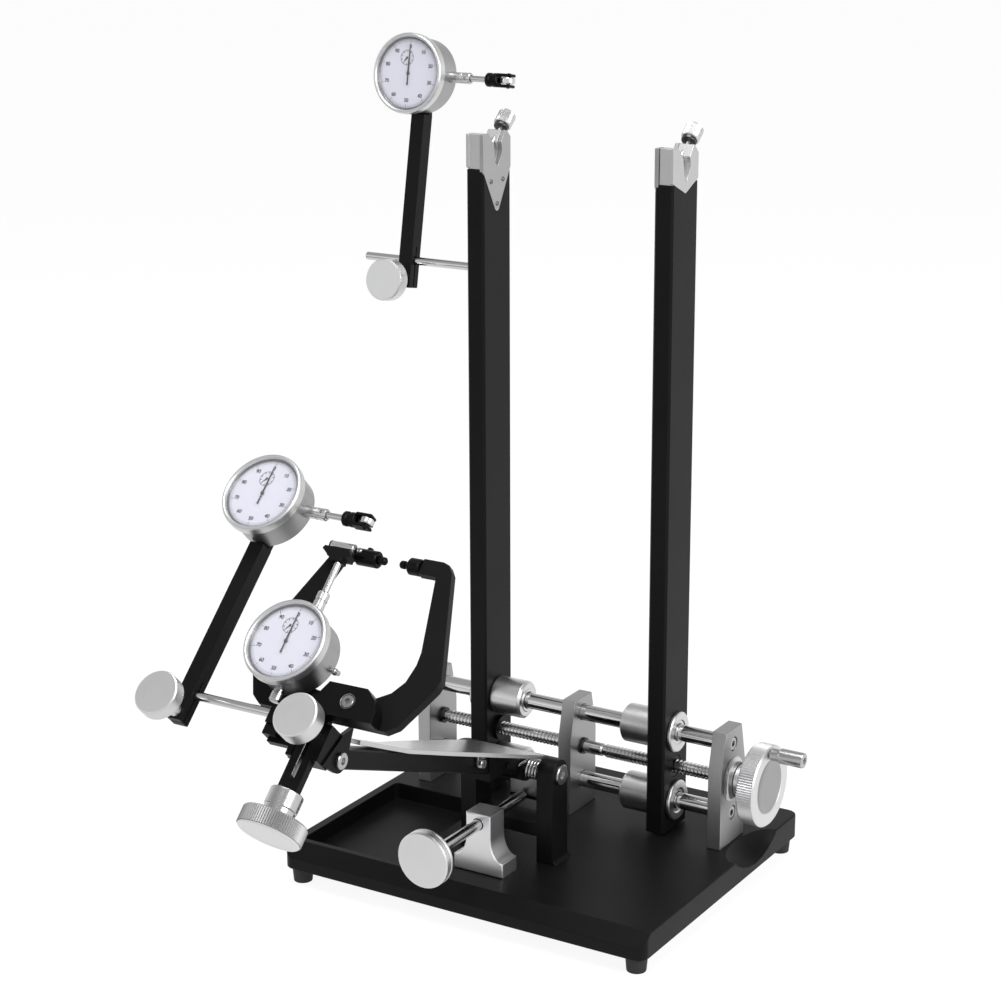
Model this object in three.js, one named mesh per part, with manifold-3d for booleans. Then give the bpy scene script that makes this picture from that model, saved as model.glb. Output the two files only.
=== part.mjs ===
// Bicycle wheel truing stand: two uprights carry the axle, a caliper on a swing arm feels the rim,
// and three dial gauges read it. Millimetres, +Z up, and the front is towards -Y.
// The origin is on the base plate's underside, straight below the wheel's axle.
import * as THREE from 'three';
import { mergeVertices } from 'three/addons/utils/BufferGeometryUtils.js';
import Module from 'manifold-3d';

const wasm = await Module();
wasm.setup();

// Clearances, and how far a cut runs past the face that it opens
const gap = 0.3;
const play = 0.4;
const overrun = 3;

// Faces round small pins, round rods, and round wheels and dials
const pinFaces = 8;
const rodFaces = 16;
const wheelFaces = 24;
const hexFaces = 6;
const arcSteps = 5;
const unit = 1;

// Base plate with a sloping front, its tray, its scoop under the handwheel and four feet
const plate = { halfWidth: 148, front: -159, back: 75, thick: 18.5, corner: 8, toe: 11.3, toeHeight: 9, edge: 0.8 };
const tray = { left: -140.5, right: -60, front: -154, back: -33, depth: 12.5, corner: 4 };
const scoop = { y: 1.5, height: 40, reach: 27, radius: 53 };
const foot = { x: 137.5, front: -160, back: 65, topRadius: 7.8, tipRadius: 6.8, height: 11.5 };

// End plates and middle plate, which hold the guide rods and the lead screw
const stay = { inner: 118.2, thick: 10.8, halfWidth: 19.1, shoulder: 58.8, topHalfWidth: 12.5, height: 87.6 };
const middle = { halfThick: 5.3 };
const guide = { radius: 6, upper: 75.8, lower: 22.8, seat: 3.5 };
const rodScrew = { radius: 3, headRadius: 5, headDepth: 4, inset: 0.6, socket: 2.4, socketDepth: 2.2 };
const lead = { radius: 5, journal: 4, height: 49.2, threadEnd: 113 };
const bearing = { radius: 13, reach: 5 };
const collar = { radius: 6.5, thick: 2.2 };

// Handwheel on the lead screw, with a grip that spins on its pin
const wheel = { start: 145, face: 158, radius: 29.5, rimInner: 21.5, hub: 10.4, webStart: 148.5, dish: 19.5,
  dishFloor: 152.4 };
const dishShares = [0.8, 0.55, 0.3];
const wheelShaft = { end: 150, chamfer: 1.2 };
const grip = { offset: 25, pin: 2, start: 159, neck: 4.6, neckEnd: 165.5, radius: 5.6, end: 184, edge: 0.8 };
const gripSocket = { radius: 2.2, depth: 3 };

// Uprights, which slide on the guide rods
const upright = { inner: 68, outer: 82.4, halfWidth: 18.6, lift: 1.5, top: 474, edge: 1.5 };
const bush = { inner: 42, radius: 14.25, neck: 10.5, flange: 15, flangeThick: 3, edge: 0.8 };
const leadNut = { radius: 8, flange: 9.5, flangeThick: 3 };

// Dropouts on the uprights, and the axle clamps in them. Rises and drops start at the uprights' tops.
const vee = { thick: 3, rise: 25, backCut: 5, shoulderDrop: 1, tipDrop: 31, tipRadius: 3.4, sweepStart: 195,
  sweepEnd: 345 };
const cap = { inset: 1, skirtThick: 2.4, skirtDrop: 7, shoulderRise: 1.5 };
const slot = { tipRise: 1.5, tipHalf: 1.6, bellyRise: 11.5, bellyBack: 7.4, waistRise: 17.4, waistBack: 5.6,
  waistFront: -4.3, mouthHalf: 11 };
const veeScrew = { radius: 1.7, y: 8, upperDrop: 9.2, lowerDrop: 25.7, depth: 1.4, proud: 0.5 };
const clamp = { slant: 50, ballY: 3.2, ballRise: 14.5, ball: 2.8, stem: 1.5, headStart: 17.5, collar: 2.4,
  collarRadius: 5.4, headRadius: 6.5, headEnd: 31, edge: 0.8 };

// Adjuster: a screw through a block pushes the swing arm's lug
const adjuster = { front: -140, back: -120.5, halfWidth: 10, footHalf: 20.2, footThick: 10.7, flareTop: 27,
  top: 44.6, screwHeight: 37, screwRadius: 4, tip: -77, knobFace: -211, knobThick: 9, knobRadius: 20,
  groove: 15.5, grooveWidth: 0.8, grooveDepth: 0.5, edge: 0.8 };

// Yoke, pivot bolt and torsion spring of the swing arm
const yoke = { inner: 25, outer: 38, front: -102, back: -80, flare: 3.5, flareHeight: 3, barLow: 19, barTop: 28.5 };
const pivot = { y: -91, height: 65, bolt: 4, headRadius: 7.5, headThick: 2, nutRadius: 7, nutThick: 6, socket: 3.2,
  socketDepth: 1.2 };
const spring = { wire: 0.9, radius: 6.6, start: 12.2, pitch: 2.5, curls: 4.25, frontLeg: 14 };
const springSteps = 8;
const wireFaces = 5;
const clearWires = 0.4;
const wireSamples = [0, 0.25, 0.5, 0.75];

// Swing arm, in its own frame: s runs out along the arm and h is square to it
const arm = { tilt: 20.5, length: 246.5, halfWidth: 9.5, halfHeight: 6.4, start: 6, rootHalf: 10.8, hub: 10,
  rootFront: -141, rootBack: -88, rootLow: 71.3, rootCap: 5.5, edge: 0.8 };
const lug = { half: 12, thick: 5.5, low: 34, top: 60 };
const lever = { rear: 10.7, rearHalf: 29.5, waist: 120, waistHalf: 20, neck: 165, neckHalf: 13, tip: 212, tipHalf: 4,
  rearTop: 12, neckTop: 9, tipTop: 12, thick: 1.6, flange: 3, wall: 1.6 };
const ear = { s: 69, h: 1.6, half: 7, inner: 10.3, thick: 2, foot: 3.4, screw: 2, headRadius: 3.6, headThick: 2.4,
  socket: 1.8, socketDepth: 1.4 };
const sideScrew = { s: 28.6, h: 0.5, radius: 2.6, thick: 1 };

// Head at the arm's end, in its own frame: z runs up along the slide and the front is -y
const head = { tilt: 45.5, pivotY: 14.3, pivotZ: -21, earInner: 9.9, earThick: 3.5, earRadius: 8.4, earEnd: 30,
  bolt: 3.2, boltHead: 5.4, boltThick: 2.4, guideHalf: 12, guideBack: 7.2, guideTop: -7, guideLow: -32, wedgeTop: 2,
  wedgeBack: 13.8, wedgeOut: 16.7, wedgeShoulder: -5.6, socket: 2.6, socketDepth: 1.4 };
const slide = { half: 7.5, front: -6.4, back: -0.9, low: -54, top: -3.3, slotHalf: 1.6, slotLow: -46, slotTop: -8 };
const headClamp = { z: -14.4, face: -31.5, thick: 12, radius: 15.2, boss: 5.4, stud: 1.3, studSeat: 6, edge: 1 };
const pull = { hub: 11, hubTop: -54.6, hubLow: -66, neck: 10.4, knob: 21.5, knobTop: -72, knobLow: -85, stub: 1.7,
  stubLength: 5, edge: 1.2 };
const side = { outer: -29, low: -26.5, top: -14.5, back: -1, front: -6.4 };
const rodBlock = { inner: -21, outer: -31, low: -17, top: -4.2, front: -14, back: -5.6, stepFront: -12, stepLow: -24 };
const crossRod = { radius: 3, y: -8, z: -8.7, end: -112 };

// Caliper and carrier on the slide
const caliper = { front: -5, back: 1.5, low: -3, foot: 48, footCorner: 55, footRise: 5, hip: 70, hipZ: 31, side: 71,
  sideZ: 37, shoulder: 46, shoulderZ: 110, crown: 42, crownZ: 115, top: 116.5, crownFlat: 37, rightTip: 22.4,
  under: 105.5, innerTop: 36, innerSide: 48.9, innerSideZ: 53, bowl: 49.4, bowlZ: 44, leftTip: 31, saddle: 107,
  saddleEnd: 37.5, bowlFloor: 13, floorHalf: 32.2, floorZ: 17.3, midBowl: 47.1, midBowlZ: 31.7, lowBowl: 40.9,
  lowBowlZ: 22.7 };
const barrel = { radius: 3.2, y: -8.5, z: 112.3, left: -45.4, right: -27.5, armLow: 110.5, armTop: 114.5 };
const carrier = { front: -15.7, left: 2.6, topLeft: 17.8, topRight: 31, top: 18, shoulder: 39.3, shoulderZ: 11.4,
  nose: 43, noseZ: 4, lowZ: -3.8, lowX: 13.8, bevelX: -1.2, bevelZ: 10, footLow: -5.5, screwX: 21.4, screwZ: 6.9,
  screwRadius: 5, screwProud: 0.8, tongueHalf: 7.5, shank: 2.5, socket: 2.4, socketDepth: 2 };
const feeler = { z: 111, bushRadius: 5.6, bushLeft: -11.2, bushEnd: -27, bushRight: 13, pinRadius: 2.7, tip: 5,
  pinTipRadius: 1.6, tailRadius: 3.2, tailEnd: -51, tailStart: -38, pinCore: 2.2, seat: 5 };
const rocker = { front: -15.5, back: -7.8, left: -46.8, leftZ: 106.5, crown: -45.6, crownZ: 108.7, right: -26.5,
  tail: -22.8, tailZ: 104, neck: -29, neckZ: 101.9, heelRight: -28.6, heelLeft: -36.7, heelZ: 99, low: -40.8,
  lowZ: 102.3 };

// Dial gauges
const dial = { radius: 29, depth: 26.6, bezel: 25.8, bezelDepth: 3.2, backRadius: 27, rim: 8, edge: 1.2,
  stem: 4, stemReach: 44, plunger: 2.2, plungerTail: 24, bore: 13, stemDepth: 8 };
const needle = { length: 21, tail: 8, halfWidth: 0.5, hub: 1.7, thick: 0.6, lift: 0.5, arbor: 0.7 };
const frontDial = { x: -31.2, z: 32.2, capRadius: 4, capReach: 35 };
const forkEnd = { start: 58, body: 5, bodyEnd: 67, halfWidth: 4.4, prongInner: 2.6, prongOuter: 5, end: 79, pin: 1.2 };
const roller = { reach: 75, radius: 4.8, halfThick: 2.2 };

// Dial arms, each clamped on a rod: z runs up the bar from the rod and the front is -y
const bar = { half: 5.5, low: -20, slitTop: 10, slitHalf: 0.5, dialBack: 1, tongueRise: 8, knobZ: -15 };
const barKnob = { radius: 15.2, face: -32.5, thick: 10, neck: 4, shank: 2.2, shankEnd: 4, edge: 0.8 };
const upperRod = { radius: 3, drop: 73.6, seat: 6, reach: 98.6 };
const upperArm = { inset: 37, tilt: 10.5, dialZ: 133.7 };
const lowerArm = { inset: 14, tilt: 45.5, dialZ: 138.5 };

// Finishes
const finish = {
  black: new THREE.MeshStandardMaterial({ color: 0x1c1c1e, roughness: 0.55, metalness: 0.2 }),
  silver: new THREE.MeshStandardMaterial({ color: 0xc2c3c5, roughness: 0.35, metalness: 0.85 }),
  steel: new THREE.MeshStandardMaterial({ color: 0xa9abae, roughness: 0.22, metalness: 1 }),
};

// Closed three.js geometry as a solid that can be joined and cut
function solidOf(geometry) {
  const bare = geometry.clone();
  bare.deleteAttribute('normal');
  bare.deleteAttribute('uv');
  const merged = mergeVertices(bare);
  const corners = Array.from(merged.index.array);
  const kept = [];
  for (let i = 0; i < corners.length; i += 3) {
    const [a, b, c] = corners.slice(i, i + 3);
    if (a !== b && b !== c && c !== a) kept.push(a, b, c);
  }
  const places = merged.attributes.position;
  const [p, q, r] = [new THREE.Vector3(), new THREE.Vector3(), new THREE.Vector3()];
  let volume = 0;
  for (let i = 0; i < kept.length; i += 3) {
    p.fromBufferAttribute(places, kept[i]);
    q.fromBufferAttribute(places, kept[i + 1]);
    r.fromBufferAttribute(places, kept[i + 2]);
    volume += p.dot(q.cross(r));
  }
  if (volume < 0) kept.reverse();
  return new wasm.Manifold(new wasm.Mesh({
    numProp: 3,
    vertProperties: new Float32Array(places.array),
    triVerts: new Uint32Array(kept),
  }));
}

function asSolid(shape) {
  return shape.isBufferGeometry ? solidOf(shape) : shape;
}

function join(first, ...others) {
  return others.reduce((whole, other) => whole.add(asSolid(other)), asSolid(first));
}

function cut(first, ...others) {
  return others.reduce((whole, other) => whole.subtract(asSolid(other)), asSolid(first));
}

function shared(first, ...others) {
  return others.reduce((whole, other) => whole.intersect(asSolid(other)), asSolid(first));
}

function geometryOf(solid) {
  const mesh = solid.getMesh();
  const geometry = new THREE.BufferGeometry();
  geometry.setAttribute('position', new THREE.BufferAttribute(new Float32Array(mesh.vertProperties), 3));
  geometry.setIndex(new THREE.BufferAttribute(new Uint32Array(mesh.triVerts), 1));
  geometry.computeVertexNormals();
  return geometry;
}

// One named piece in its group
function piece(group, name, material, shape) {
  const mesh = new THREE.Mesh(geometryOf(asSolid(shape)), material);
  mesh.name = name;
  group.add(mesh);
}

// Box between two limits on each axis, given in either order
function block([x0, x1], [y0, y1], [z0, z1]) {
  const geometry = new THREE.BoxGeometry(Math.abs(x1 - x0), Math.abs(y1 - y0), Math.abs(z1 - z0));
  return geometry.translate((x0 + x1) / 2, (y0 + y1) / 2, (z0 + z1) / 2);
}

// Outline in the plane across an axis, drawn out along it. Points are (y, z), (x, z) or (x, y).
function prism(points, axis, [a, b], chamfer = 0) {
  const [from, to] = [Math.min(a, b), Math.max(a, b)];
  const corners = points.map(([u, v]) => (axis === 'y' ? new THREE.Vector2(v, u) : new THREE.Vector2(u, v)));
  const geometry = new THREE.ExtrudeGeometry(new THREE.Shape(corners), {
    depth: to - from - 2 * chamfer,
    bevelEnabled: chamfer > 0,
    bevelThickness: chamfer,
    bevelSize: chamfer,
    bevelOffset: -chamfer,
    bevelSegments: 1,
  });
  geometry.translate(0, 0, from + chamfer);
  const [ux, uy, uz] = [new THREE.Vector3(1, 0, 0), new THREE.Vector3(0, 1, 0), new THREE.Vector3(0, 0, 1)];
  const turn = new THREE.Matrix4();
  if (axis === 'x') turn.makeBasis(uy, uz, ux);
  if (axis === 'y') turn.makeBasis(uz, ux, uy);
  return geometry.applyMatrix4(turn);
}

// Points of an arc, with angles in degrees
function arc(u, v, radius, start, end, steps = arcSteps) {
  return Array.from({ length: steps + 1 }, (_, i) => {
    const angle = THREE.MathUtils.degToRad(start + (end - start) * i / steps);
    return [u + radius * Math.cos(angle), v + radius * Math.sin(angle)];
  });
}

function roundedBox(left, right, front, back, radius) {
  return [
    ...arc(right - radius, back - radius, radius, 0, 90),
    ...arc(left + radius, back - radius, radius, 90, 180),
    ...arc(left + radius, front + radius, radius, 180, 270),
    ...arc(right - radius, front + radius, radius, 270, 360),
  ];
}

// Turn a shape made along +Y to lie along an axis, and set it at its place across that axis
function alongAxis(geometry, axis, u, v) {
  if (axis === 'x') return geometry.rotateZ(-Math.PI / 2).translate(0, u, v);
  if (axis === 'z') return geometry.rotateX(Math.PI / 2).translate(u, v, 0);
  return geometry.translate(u, 0, v);
}

// Round bar between two limits along an axis, at (u, v) across it
function rod(axis, radius, [a, b], u, v, faces = rodFaces) {
  const geometry = new THREE.CylinderGeometry(radius, radius, Math.abs(b - a), faces);
  return alongAxis(geometry.translate(0, (a + b) / 2, 0), axis, u, v);
}

// Turned piece from (radius, place along the axis) points that start and end on the axis
function turned(profile, axis, u, v, faces = wheelFaces) {
  const points = profile.map(([radius, along]) => new THREE.Vector2(radius, along));
  return alongAxis(new THREE.LatheGeometry(points, faces), axis, u, v);
}

// Disc with both rims chamfered
function disc(axis, radius, [a, b], u, v, chamfer, faces = wheelFaces) {
  const [from, to] = [Math.min(a, b), Math.max(a, b)];
  const profile = [[0, from], [radius - chamfer, from], [radius, from + chamfer], [radius, to - chamfer],
    [radius - chamfer, to], [0, to]];
  return turned(profile, axis, u, v, faces);
}

function ring(axis, outer, inner, [a, b], u, v, faces = rodFaces) {
  const [from, to] = [Math.min(a, b), Math.max(a, b)];
  const bore = rod(axis, inner, [from - overrun, to + overrun], u, v, faces);
  return cut(rod(axis, outer, [from, to], u, v, faces), bore);
}

function hexSocket(axis, radius, [a, b], u, v) {
  return rod(axis, radius, [a, b], u, v, hexFaces);
}

// Round wire through a list of points, closed by flat ends
function wire(points, radius, faces) {
  const places = [];
  const index = [];
  const normal = new THREE.Vector3();
  points.forEach((point, i) => {
    const before = points[Math.max(i - 1, 0)];
    const after = points[Math.min(i + 1, points.length - 1)];
    const along = after.clone().sub(before).normalize();
    if (i === 0) normal.set(1, 0, 0);
    normal.addScaledVector(along, -normal.dot(along)).normalize();
    const across = along.clone().cross(normal);
    for (let k = 0; k < faces; k += 1) {
      const angle = 2 * Math.PI * k / faces;
      const corner = point.clone().addScaledVector(normal, radius * Math.cos(angle));
      corner.addScaledVector(across, radius * Math.sin(angle));
      places.push(corner.x, corner.y, corner.z);
    }
  });
  for (let i = 0; i < points.length - 1; i += 1) {
    for (let k = 0; k < faces; k += 1) {
      const [a, b] = [i * faces + k, i * faces + (k + 1) % faces];
      index.push(a, b, b + faces, a, b + faces, a + faces);
    }
  }
  const last = (points.length - 1) * faces;
  for (let k = 1; k < faces - 1; k += 1) {
    index.push(0, k + 1, k);
    index.push(last, last + k, last + k + 1);
  }
  const geometry = new THREE.BufferGeometry();
  geometry.setAttribute('position', new THREE.Float32BufferAttribute(places, 3));
  geometry.setIndex(index);
  return geometry;
}

// Heights below are measured from the base plate's top
const above = (height) => plate.thick + height;
const uprightTop = above(upright.top);
const veeTop = uprightTop + vee.rise;
const stand = new THREE.Group();

// Base plate and feet
function basePlate() {
  const toeFront = plate.front - plate.toe;
  const plan = roundedBox(-plate.halfWidth, plate.halfWidth, toeFront, plate.back, plate.corner);
  const slope = [[toeFront, 0], [plate.back, 0], [plate.back, plate.thick], [plate.front, plate.thick],
    [toeFront, plate.toeHeight]];
  const body = shared(prism(plan, 'z', [0, plate.thick], plate.edge),
    prism(slope, 'x', [-plate.halfWidth, plate.halfWidth]));
  const pocket = roundedBox(tray.left, tray.right, tray.front, tray.back, tray.corner);
  const hollow = prism(pocket, 'z', [plate.thick - tray.depth, plate.thick + overrun]);
  const bowl = new THREE.SphereGeometry(unit, wheelFaces, rodFaces);
  bowl.scale(scoop.reach, scoop.radius, scoop.radius);
  bowl.translate(plate.halfWidth, scoop.y, above(scoop.height));
  return cut(body, hollow, bowl);
}

function feet() {
  const profile = [[0, -foot.height], [foot.tipRadius, -foot.height], [foot.topRadius, 0], [foot.topRadius, plate.edge],
    [0, plate.edge]];
  const places = [foot.front, foot.back].flatMap((y) => [[-foot.x, y], [foot.x, y]]);
  return join(...places.map(([x, y]) => turned(profile, 'z', x, y, rodFaces)));
}

piece(stand, 'base_plate', finish.black, join(basePlate(), feet()));

// End plates, middle plate and guide rods
const rodHeights = [above(guide.upper), above(guide.lower)];
const leadZ = above(lead.height);
const stayOuter = stay.inner + stay.thick;

function stayPlate(from, to) {
  const outline = [[-stay.halfWidth, above(0)], [stay.halfWidth, above(0)], [stay.halfWidth, above(stay.shoulder)],
    [stay.topHalfWidth, above(stay.height)], [-stay.topHalfWidth, above(stay.height)],
    [-stay.halfWidth, above(stay.shoulder)]];
  return prism(outline, 'x', [from, to]);
}

function endPlate(sign) {
  const seat = sign * (stay.inner + guide.seat);
  const inside = sign * (stay.inner - overrun);
  const outside = sign * (stayOuter + overrun);
  const sink = sign * (stayOuter - rodScrew.headDepth);
  const holes = rodHeights.flatMap((z) => [
    rod('x', guide.radius + gap, [inside, seat], 0, z),
    rod('x', rodScrew.radius + gap, [inside, outside], 0, z, pinFaces),
    rod('x', rodScrew.headRadius + gap, [sink, outside], 0, z),
  ]);
  const bore = rod('x', lead.journal + play, [inside, outside + sign * bearing.reach], 0, leadZ);
  const boss = disc('x', bearing.radius, [stayOuter - gap, stayOuter + bearing.reach], 0, leadZ, gap);
  const blank = stayPlate(sign * stay.inner, sign * stayOuter);
  return cut(sign > 0 ? join(blank, boss) : blank, ...holes, bore);
}

function middlePlate() {
  const limits = [-middle.halfThick - overrun, middle.halfThick + overrun];
  const holes = rodHeights.map((z) => rod('x', guide.radius + gap, limits, 0, z));
  const bore = rod('x', lead.journal + play, limits, 0, leadZ);
  return cut(stayPlate(-middle.halfThick, middle.halfThick), ...holes, bore);
}

// Guide rod with the socket screws that hold its ends in the plates
function guideRod(z) {
  const end = stay.inner + guide.seat - gap;
  const headOuter = stayOuter - rodScrew.inset;
  const headInner = stayOuter - rodScrew.headDepth + gap;
  const screws = [-1, 1].map((sign) => cut(
    join(rod('x', rodScrew.headRadius, [sign * headInner, sign * headOuter], 0, z),
      rod('x', rodScrew.radius, [sign * (end - gap), sign * (headInner + gap)], 0, z, pinFaces)),
    hexSocket('x', rodScrew.socket, [sign * (headOuter - rodScrew.socketDepth), sign * (headOuter + overrun)], 0, z)));
  return join(rod('x', guide.radius, [-end, end], 0, z), ...screws);
}

piece(stand, 'end_plate_left', finish.silver, endPlate(-1));
piece(stand, 'end_plate_middle', finish.silver, middlePlate());
piece(stand, 'end_plate_right', finish.silver, endPlate(1));
piece(stand, 'guide_rod_upper', finish.steel, guideRod(above(guide.upper)));
piece(stand, 'guide_rod_lower', finish.steel, guideRod(above(guide.lower)));

// Lead screw with a left-hand and a right-hand thread and two collars, its handwheel and the grip
function leadScrew() {
  const slope = lead.radius - lead.journal;
  const near = middle.halfThick + collar.thick + play + gap;
  const profile = [[0, -stayOuter], [lead.journal, -stayOuter], [lead.journal, -lead.threadEnd - slope],
    [lead.radius, -lead.threadEnd], [lead.radius, -near - slope], [lead.journal, -near], [lead.journal, near],
    [lead.radius, near + slope], [lead.radius, lead.threadEnd], [lead.journal, lead.threadEnd + slope],
    [lead.journal, wheelShaft.end], [0, wheelShaft.end]];
  const collars = [middle.halfThick + gap, -stay.inner + gap].map((start) => rod('x', collar.radius,
    [start, start + collar.thick], 0, leadZ));
  return join(turned(profile, 'x', 0, leadZ, rodFaces), ...collars);
}

function handwheel() {
  const { chamfer } = wheelShaft;
  const hubStart = stayOuter + bearing.reach + gap;
  const bowl = dishShares.map((share) => [wheel.dish * share,
    wheel.dishFloor + (wheel.face - wheel.dishFloor) * share ** 2]);
  const profile = [[0, hubStart], [wheel.hub, hubStart], [wheel.hub, wheel.webStart],
    [wheel.rimInner, wheel.webStart], [wheel.rimInner, wheel.start], [wheel.radius - chamfer, wheel.start],
    [wheel.radius, wheel.start + chamfer], [wheel.radius, wheel.face - chamfer],
    [wheel.radius - chamfer, wheel.face], [wheel.dish, wheel.face], ...bowl, [0, wheel.dishFloor]];
  const bore = rod('x', lead.journal + gap, [hubStart - overrun, wheelShaft.end + gap], 0, leadZ);
  const pinEnd = grip.end - gripSocket.depth - play;
  const pin = rod('x', grip.pin, [wheel.dishFloor, pinEnd], 0, leadZ + grip.offset, pinFaces);
  return join(cut(turned(profile, 'x', 0, leadZ), bore), pin);
}

function handwheelGrip() {
  const z = leadZ + grip.offset;
  const profile = [[0, grip.start], [grip.neck, grip.start], [grip.neck, grip.neckEnd],
    [grip.radius, grip.neckEnd + grip.edge], [grip.radius, grip.end - grip.edge],
    [grip.radius - grip.edge, grip.end], [0, grip.end]];
  const bore = rod('x', grip.pin + play, [grip.start - overrun, grip.end - gripSocket.depth], 0, z, pinFaces);
  const socket = hexSocket('x', gripSocket.radius, [grip.end - gripSocket.depth + play, grip.end + overrun], 0, z);
  return cut(turned(profile, 'x', 0, z, rodFaces), bore, socket);
}

piece(stand, 'lead_screw', finish.steel, leadScrew());
piece(stand, 'handwheel', finish.steel, handwheel());
piece(stand, 'handwheel_grip', finish.steel, handwheelGrip());

// Outlines of the dropout's inner plate and of the cap's outer skirt, grown by a clearance
function veeOutline(grow) {
  const half = upright.halfWidth;
  const shoulder = uprightTop - vee.shoulderDrop;
  return [[-half, veeTop], [-half, shoulder],
    ...arc(0, uprightTop - vee.tipDrop + vee.tipRadius, vee.tipRadius + grow, vee.sweepStart, vee.sweepEnd),
    [half, shoulder], [half, veeTop - vee.backCut], [half - vee.backCut, veeTop]];
}

function skirtOutline(grow) {
  const half = upright.halfWidth;
  const shoulder = uprightTop + cap.shoulderRise - grow;
  return [[-half, veeTop], [-half, shoulder], [0, uprightTop - cap.skirtDrop - grow], [half, shoulder],
    [half, veeTop - vee.backCut], [half - vee.backCut, veeTop]];
}

// Slot that takes the axle, with a wide mouth over a narrow vee
function axleSlot(from, to) {
  const outline = [[-slot.tipHalf, uprightTop + slot.tipRise], [slot.tipHalf, uprightTop + slot.tipRise],
    [slot.bellyBack, uprightTop + slot.bellyRise], [slot.waistBack, uprightTop + slot.waistRise],
    [slot.mouthHalf, veeTop], [slot.mouthHalf, veeTop + overrun], [-slot.mouthHalf, veeTop + overrun],
    [-slot.mouthHalf, veeTop], [slot.waistFront, uprightTop + slot.waistRise]];
  return prism(outline, 'x', [from, to]);
}

function uprightBar(sign) {
  const [inner, outer] = [sign * upright.inner, sign * upright.outer];
  const half = upright.halfWidth;
  const middleX = sign * (upright.inner + upright.outer) / 2;
  const halfThick = (upright.outer - upright.inner) / 2;
  const { edge } = upright;
  const outline = [[-halfThick, -half + edge], [-halfThick + edge, -half], [halfThick - edge, -half],
    [halfThick, -half + edge], [halfThick, half - edge], [halfThick - edge, half], [-halfThick + edge, half],
    [-halfThick, half - edge]].map(([x, y]) => [x + middleX, y]);
  const limits = [inner - sign * overrun, outer + sign * overrun];
  const bores = rodHeights.map((z) => rod('x', bush.neck + gap, limits, 0, z));
  const nutBore = rod('x', leadNut.radius + gap, limits, 0, leadZ);
  const pocket = prism(veeOutline(gap), 'x', [inner - sign * overrun, inner + sign * (vee.thick + gap)]);
  const outside = prism(skirtOutline(gap), 'x', [outer - sign * (cap.skirtThick + gap), outer + sign * overrun]);
  const trims = [-1, 1].map((back) => block([inner - sign * overrun, inner + sign * (vee.thick + gap)],
    [back * (half - edge), back * (half + overrun)], [uprightTop - vee.shoulderDrop, uprightTop + overrun]));
  const bar = prism(outline, 'z', [above(upright.lift), uprightTop]);
  const seats = sign < 0 ? [rod('x', upperRod.radius + gap, [outer - overrun, outer + upperRod.seat], 0,
    uprightTop - upperRod.drop, pinFaces)] : [];
  return cut(bar, ...bores, nutBore, pocket, outside, ...trims, ...seats);
}

// Collar that slides on a guide rod and goes through the upright, with its ring outside
function slideCollar(sign, z) {
  const [inner, outer] = [sign * upright.inner, sign * upright.outer];
  const ringEnd = outer + sign * bush.flangeThick;
  const body = join(disc('x', bush.radius, [sign * bush.inner, inner - sign * gap], 0, z, bush.edge),
    rod('x', bush.neck, [inner - sign * overrun, ringEnd], 0, z),
    rod('x', bush.flange, [outer + sign * gap, ringEnd], 0, z));
  const bore = rod('x', guide.radius + play, [sign * (bush.inner - overrun), ringEnd + sign * overrun], 0, z);
  return cut(body, bore);
}

function leadNutShape(sign) {
  const [inner, outer] = [sign * upright.inner, sign * upright.outer];
  const flangeEnd = inner - sign * (gap + leadNut.flangeThick);
  const body = join(rod('x', leadNut.radius, [inner - sign * gap, outer - sign * gap], 0, leadZ),
    rod('x', leadNut.flange, [inner - sign * gap, flangeEnd], 0, leadZ));
  return cut(body, rod('x', lead.radius + play, [flangeEnd - sign * overrun, outer + sign * overrun], 0, leadZ));
}

// Cap on the upright, with its outer skirt, the axle's slot and the clamp's bore in its rear horn
function dropoutCap(sign) {
  const [inner, outer] = [sign * upright.inner, sign * upright.outer];
  const half = upright.halfWidth - cap.inset;
  const capInner = inner + sign * (vee.thick + gap);
  const body = block([capInner, outer - sign * cap.inset], [-half, half], [uprightTop + gap, veeTop]);
  const skirt = prism(skirtOutline(0), 'x', [outer - sign * cap.skirtThick, outer]);
  const slotCut = axleSlot(inner - sign * overrun, outer + sign * overrun);
  const corner = prism([[half - vee.backCut, veeTop], [half + overrun, veeTop - vee.backCut - overrun],
    [half + overrun, veeTop + overrun]], 'x', [inner, outer + sign * overrun]);
  return cut(join(body, skirt), slotCut, corner, clampTunnel(clampX(sign)));
}

function clampX(sign) {
  return sign * (upright.inner + upright.outer) / 2;
}

// The clamp's axis starts at its ball and leans to the back
function onClamp(geometry, x) {
  geometry.rotateX(-THREE.MathUtils.degToRad(clamp.slant));
  return geometry.translate(x, clamp.ballY, uprightTop + clamp.ballRise);
}

function clampTunnel(x) {
  return onClamp(rod('z', clamp.stem + gap, [0, clamp.headStart], 0, 0, pinFaces), x);
}

function axleClamp(sign) {
  const headFoot = clamp.headStart + clamp.collar;
  const ballTop = Math.sqrt(clamp.ball ** 2 - clamp.stem ** 2);
  const ballArc = arc(0, 0, clamp.ball, -90, 90 - THREE.MathUtils.radToDeg(Math.acos(ballTop / clamp.ball)));
  const profile = [...ballArc, [clamp.stem, clamp.headStart], [clamp.collarRadius, clamp.headStart],
    [clamp.collarRadius, headFoot], [clamp.headRadius - clamp.edge, headFoot],
    [clamp.headRadius, headFoot + clamp.edge], [clamp.headRadius, clamp.headEnd - clamp.edge],
    [clamp.headRadius - clamp.edge, clamp.headEnd], [0, clamp.headEnd]];
  profile[0][0] = 0;
  return onClamp(turned(profile, 'z', 0, 0, rodFaces), clampX(sign));
}

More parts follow.
